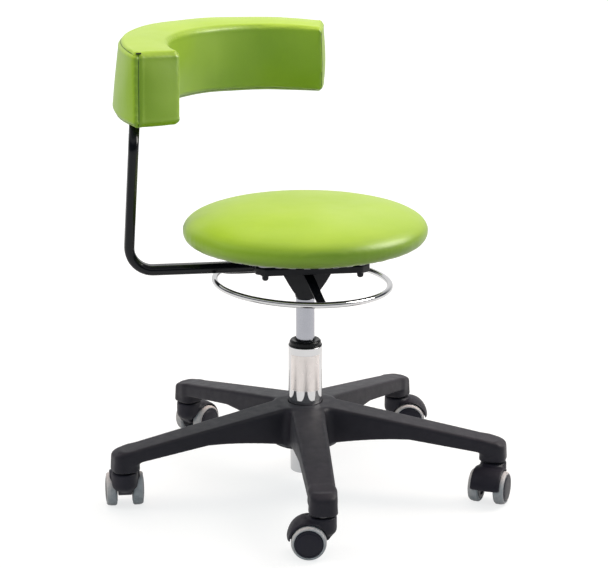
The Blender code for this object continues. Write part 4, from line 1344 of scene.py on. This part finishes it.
def groove(distance, depth, width):
    """A groove with a low swelling on each side."""
    swelling = np.exp(-(((np.abs(distance) - 2.4 * width) / width) ** 2))
    return -depth * np.exp(-((distance / width) ** 2)) + 0.35 * depth * swelling


def pad_relief(x, y, z):
    """How far the seams and the uneven stuffing push the cover out."""
    radius, angle, height = pad_frame(x, y, z)
    inner, outer, near, far = pad_sides(np.clip(height / PAD_H, 0, 1))
    far = far - skew(outer, radius)
    push = np.zeros(len(x))
    # lengthwise seams near the four long edges
    for seam_radius, seam_height, depth in (
        (outer - GROOVE, PAD_H - GROOVE, 1.5), (inner + GROOVE, PAD_H - GROOVE, 0.7),
        (outer - GROOVE, GROOVE, 1.3), (inner + GROOVE, GROOVE, 1.0),
    ):
        push += groove(np.hypot(radius - seam_radius, height - seam_height), depth, GROOVE)
    # end panels: an upright seam, then the top and bottom edges
    for end, sign, inset in ((near, 1.0, 9.0), (far, -1.0, END_GROOVE)):
        gap = (end - angle) * sign * np.pi / 180 * radius - END_GROOVE
        for offset, depth in (
            (radius - (outer - inset), 1.2), (height - (PAD_H - GROOVE), 0.8),
            (height - GROOVE, 0.8),
        ):
            push += groove(np.hypot(gap, offset), depth, END_GROOVE)
    slow = 0.7 * np.sin(angle * 0.11 + 0.7) * np.sin(height * 0.055)
    slow = slow + 0.45 * np.sin(angle * 0.23 + height * 0.05 + 1.0)
    return push + slow * 0.55


def pad_cushion():
    cell, margin = 3.4, 14.0
    box_low, box_high = mm_box("pad_cushion")
    low = box_low - margin
    shape = np.ceil((box_high - box_low + 2 * margin) / cell).astype(int)
    part = surface(pad_field(*grid(low, shape, cell)), low, cell)
    cover = to_object("pad_cushion_cover", *part, VINYL)
    relax(cover, 2)
    inflate(cover, pressure=4.0, cap=5.0, even=60)
    relax(cover, 2)
    subdivide(cover)
    points = points_of(cover)
    points += normals_of(cover) * pad_relief(*points.T)[:, None]
    return finish_cover(cover, points, "lift", "pad_cushion")


PAD_COVER = pad_cushion()
PAD_TREE = BVHTree.FromPolygons(
    points_of(PAD_COVER).tolist(), [tuple(face.vertices) for face in PAD_COVER.data.polygons])


def pad_seam_shade(name, points, radius=0.6, lift=-0.15, rounds=4):
    """A thin dark tube dropped onto the cover along a seam, painted shade of the seam's groove;
    it is raised by lift and smoothed.
    """
    path = []
    for point in points:
        hit, normal, _, _ = PAD_TREE.find_nearest(Vector(point))
        path.append(np.array(hit) + np.array(normal) * lift)
    path = np.array(path)
    for _ in range(rounds):
        path[1:-1] = path[1:-1] * 0.5 + (path[:-2] + path[2:]) * 0.25
    piece(f"pad_seam_shade_{name}", tube(path, radius), SEAM_SHADE, "lift", "lime_vinyl", weighted=False)


def long_line(outer_side, top, count=150, end=1.0, inset=2.2):
    """A line along one long edge, from the near end to a share of the length."""
    inner, outer, near, far = pad_sides(1.0 if top else 0.0)
    radius = outer - inset if outer_side else inner + inset
    angle = (near - 0.6) + ((far + 0.6) - (near - 0.6)) * np.linspace(0.0, end, count)
    height = np.full(count, PAD_H - inset if top else inset)
    return pad_world(np.full(count, radius), angle, height)


def pad_seams():
    # dark lines along the seams: painted shade of their grooves
    pad_seam_shade("top_outer", long_line(True, True))
    pad_seam_shade("top_inner", long_line(False, True, count=40, end=0.13), radius=0.45, lift=-0.2)
    pad_seam_shade("low_outer", long_line(True, False))
    pad_seam_shade("low_inner", long_line(False, False), radius=0.5)
    # upright seams at the two ends
    height = np.linspace(GROOVE, PAD_H - GROOVE, 40)
    inner, outer, near, far = pad_sides(height / PAD_H)
    for name, radius, angle, line_radius in (
        ("near_outer", outer - 9.0, near - 0.1, 0.6),
        ("far_outer", outer - 3.0, far + 0.1, 0.6),
        ("far_inner", inner + 1.8, far - 2.3, 0.5),
    ):
        pad_seam_shade(name, pad_world(radius, angle, height), line_radius, lift=-0.1, rounds=3)


def zip_pull():
    """A small pull tab tucked in the near top corner."""
    _, outer, near, _ = pad_sides(1.0)
    at = pad_world(outer - 9.0, near - 0.4, PAD_H - 1.5) + (0.5, 0.0, 0.4)
    tab = slab(rounded_rect(4.2, 2.0, 1.6, step=20.0), -0.8, 0.8, edge=0.5, steps=2)
    piece("pad_zip_pull", moved(tab, at, 20.0), ACETAL, "lift", "black_acetal", weighted=False)


pad_seams()
zip_pull()

# ================================================================ CAD nodes that stay visible
for node, obj in frame["nodes"].items():
    if obj.hide_render:
        continue
    if node in ("piston_rod", "thrust_bearing", "retaining_clip") or node.endswith("_axle"):
        mat = TURNED
    elif node == "pad_board":
        mat = PLY
    else:
        mat = ZINC
    obj.data.materials.clear()
    obj.data.materials.append(mat)


# ================================================================ stage, light, camera
def floor_material():
    """Shows the camera a near-white floor that brightens away from the stool."""
    shader = new_shader("studio_floor")
    rays = shader.add("LightPath").outputs
    seen, glossy = rays["Is Camera Ray"], rays["Is Glossy Ray"]
    away = shader.add("VectorMath", {0: shader.coords}, operation="LENGTH").outputs["Value"]
    glow = shader.math("MULTIPLY", shader.remap(away, (0.4, 3.0), (0.77, 1.0)), seen)
    shine = shader.math("MULTIPLY", glossy, 0.55)
    direct = shader.math("MAXIMUM", seen, glossy)
    return shader.principled({
        "Roughness": 0.9,
        "Specular IOR Level": 0.0,
        "Base Color": shader.mix(direct, (0.23, 0.25, 0.27), grey(0.27)),
        "Emission Color": grey(1),
        "Emission Strength": shader.math("ADD", glow, shine),
    })


def studio_floor():
    half, z = 30000, -0.4
    corners = [(-half, -half, z), (half, -half, z), (half, half, z), (-half, half, z)]
    to_object("floor", corners, [(0, 1, 2, 3)], floor_material())


def studio_world():
    scene = bpy.context.scene
    world = scene.world or bpy.data.worlds.new("studio")
    scene.world = world
    shader = Shader(world, "Generated")
    nodes = shader.tree.nodes
    background = nodes.get("Background") or nodes.new("ShaderNodeBackground")
    way = shader.add("SeparateXYZ", {"Vector": shader.coords}).outputs
    height = shader.remap(way["Z"], (-0.2, 1.0), (0.0, 1.0))
    soft = shader.ramp(height, [
        (0.0, (0.17, 0.34, 0.40)), (0.30, (0.24, 0.50, 0.60)), (0.65, (0.46, 0.57, 0.64)),
        (1.0, (0.95, 0.93, 0.90))])
    # what shiny surfaces see: bands that change with height, and a white wall behind (+Y)
    sharp = shader.ramp(height, [
        (0.0, (0.75, 0.75, 0.76)), (0.16, (0.50, 0.50, 0.52)), (0.20, (0.04, 0.045, 0.05)),
        (0.50, (0.06, 0.065, 0.08)), (0.58, (0.75, 0.75, 0.77)), (0.72, (0.80, 0.80, 0.81)),
        (0.80, (0.22, 0.22, 0.24)), (1.0, (0.30, 0.30, 0.32))])
    behind = shader.ramp(
        shader.remap(way["Y"], (0.50, 0.92), (0.0, 1.0)), [(0.0, grey(0)), (1.0, grey(1))])
    sharp = shader.mix(behind, sharp, grey(1))
    rays = shader.add("LightPath").outputs
    both = shader.mix(rays["Is Glossy Ray"], soft, sharp)
    seen = rays["Is Camera Ray"]
    shader.fill(background, {
        "Color": shader.mix(seen, both, grey(1)),
        "Strength": shader.remap(seen, (0.0, 1.0), (0.8, 1.0)),
    })


def add_object(name, data, at, way, up_axis="Y"):
    """Links a light or camera at a point, looking along a direction."""
    made = bpy.data.objects.new(name, data)
    made.location = at
    made.rotation_mode = "QUATERNION"
    made.rotation_quaternion = way.to_track_quat("-Z", up_axis)
    bpy.context.scene.collection.objects.link(made)
    return made


def softbox(name, at, aim, size, power, colour, hidden="visible_glossy"):
    """An area light; hidden is the kind of ray that doesn't see it."""
    light = bpy.data.lights.new(name, "AREA")
    light.shape = "RECTANGLE"
    light.size, light.size_y = size
    light.energy = power
    light.color = colour
    setattr(add_object(name, light, at, Vector(aim) - Vector(at)), hidden, False)


def lights():
    softbox("light_over", at=(0.2, 0.9, 2.5), aim=(0, 0, 0.4), size=(2.4, 2.0), power=49.0,
            colour=(1.0, 0.80, 0.72))
    softbox("light_right", at=(1.75, 0.55, 2.0), aim=(0.0, 0.0, 0.42), size=(1.0, 1.0),
            power=32.0, colour=(1.0, 0.93, 0.84))
    softbox("light_glint", at=(1.95, -0.25, 1.62), aim=(0.0, 0.0, 0.42), size=(1.2, 1.2),
            power=50.0, colour=(1.0, 0.97, 0.92), hidden="visible_diffuse")
    softbox("light_left", at=(-2.3, -0.05, 1.4), aim=(0, 0.05, 0.5), size=(0.9, 1.2),
            power=20.0, colour=(1.0, 0.96, 0.84))


def camera():
    azimuth, elevation = math.radians(-8.5), math.radians(15.1)
    distance = 3.138
    aim = Vector((ORIGIN[0] * MM, ORIGIN[1] * MM, 0.313))
    back = Vector((math.sin(azimuth) * math.cos(elevation),
                   -math.cos(azimuth) * math.cos(elevation), math.sin(elevation)))
    data = bpy.data.cameras.new("camera")
    data.sensor_width = 36.0
    data.lens = 124.697368
    data.shift_x = -0.00213815789
    data.clip_end = 100.0
    bpy.context.scene.camera = add_object("camera", data, aim + back * distance, -back)


studio_floor()
studio_world()
lights()
camera()
bpy.context.scene.view_settings.view_transform = "Standard"
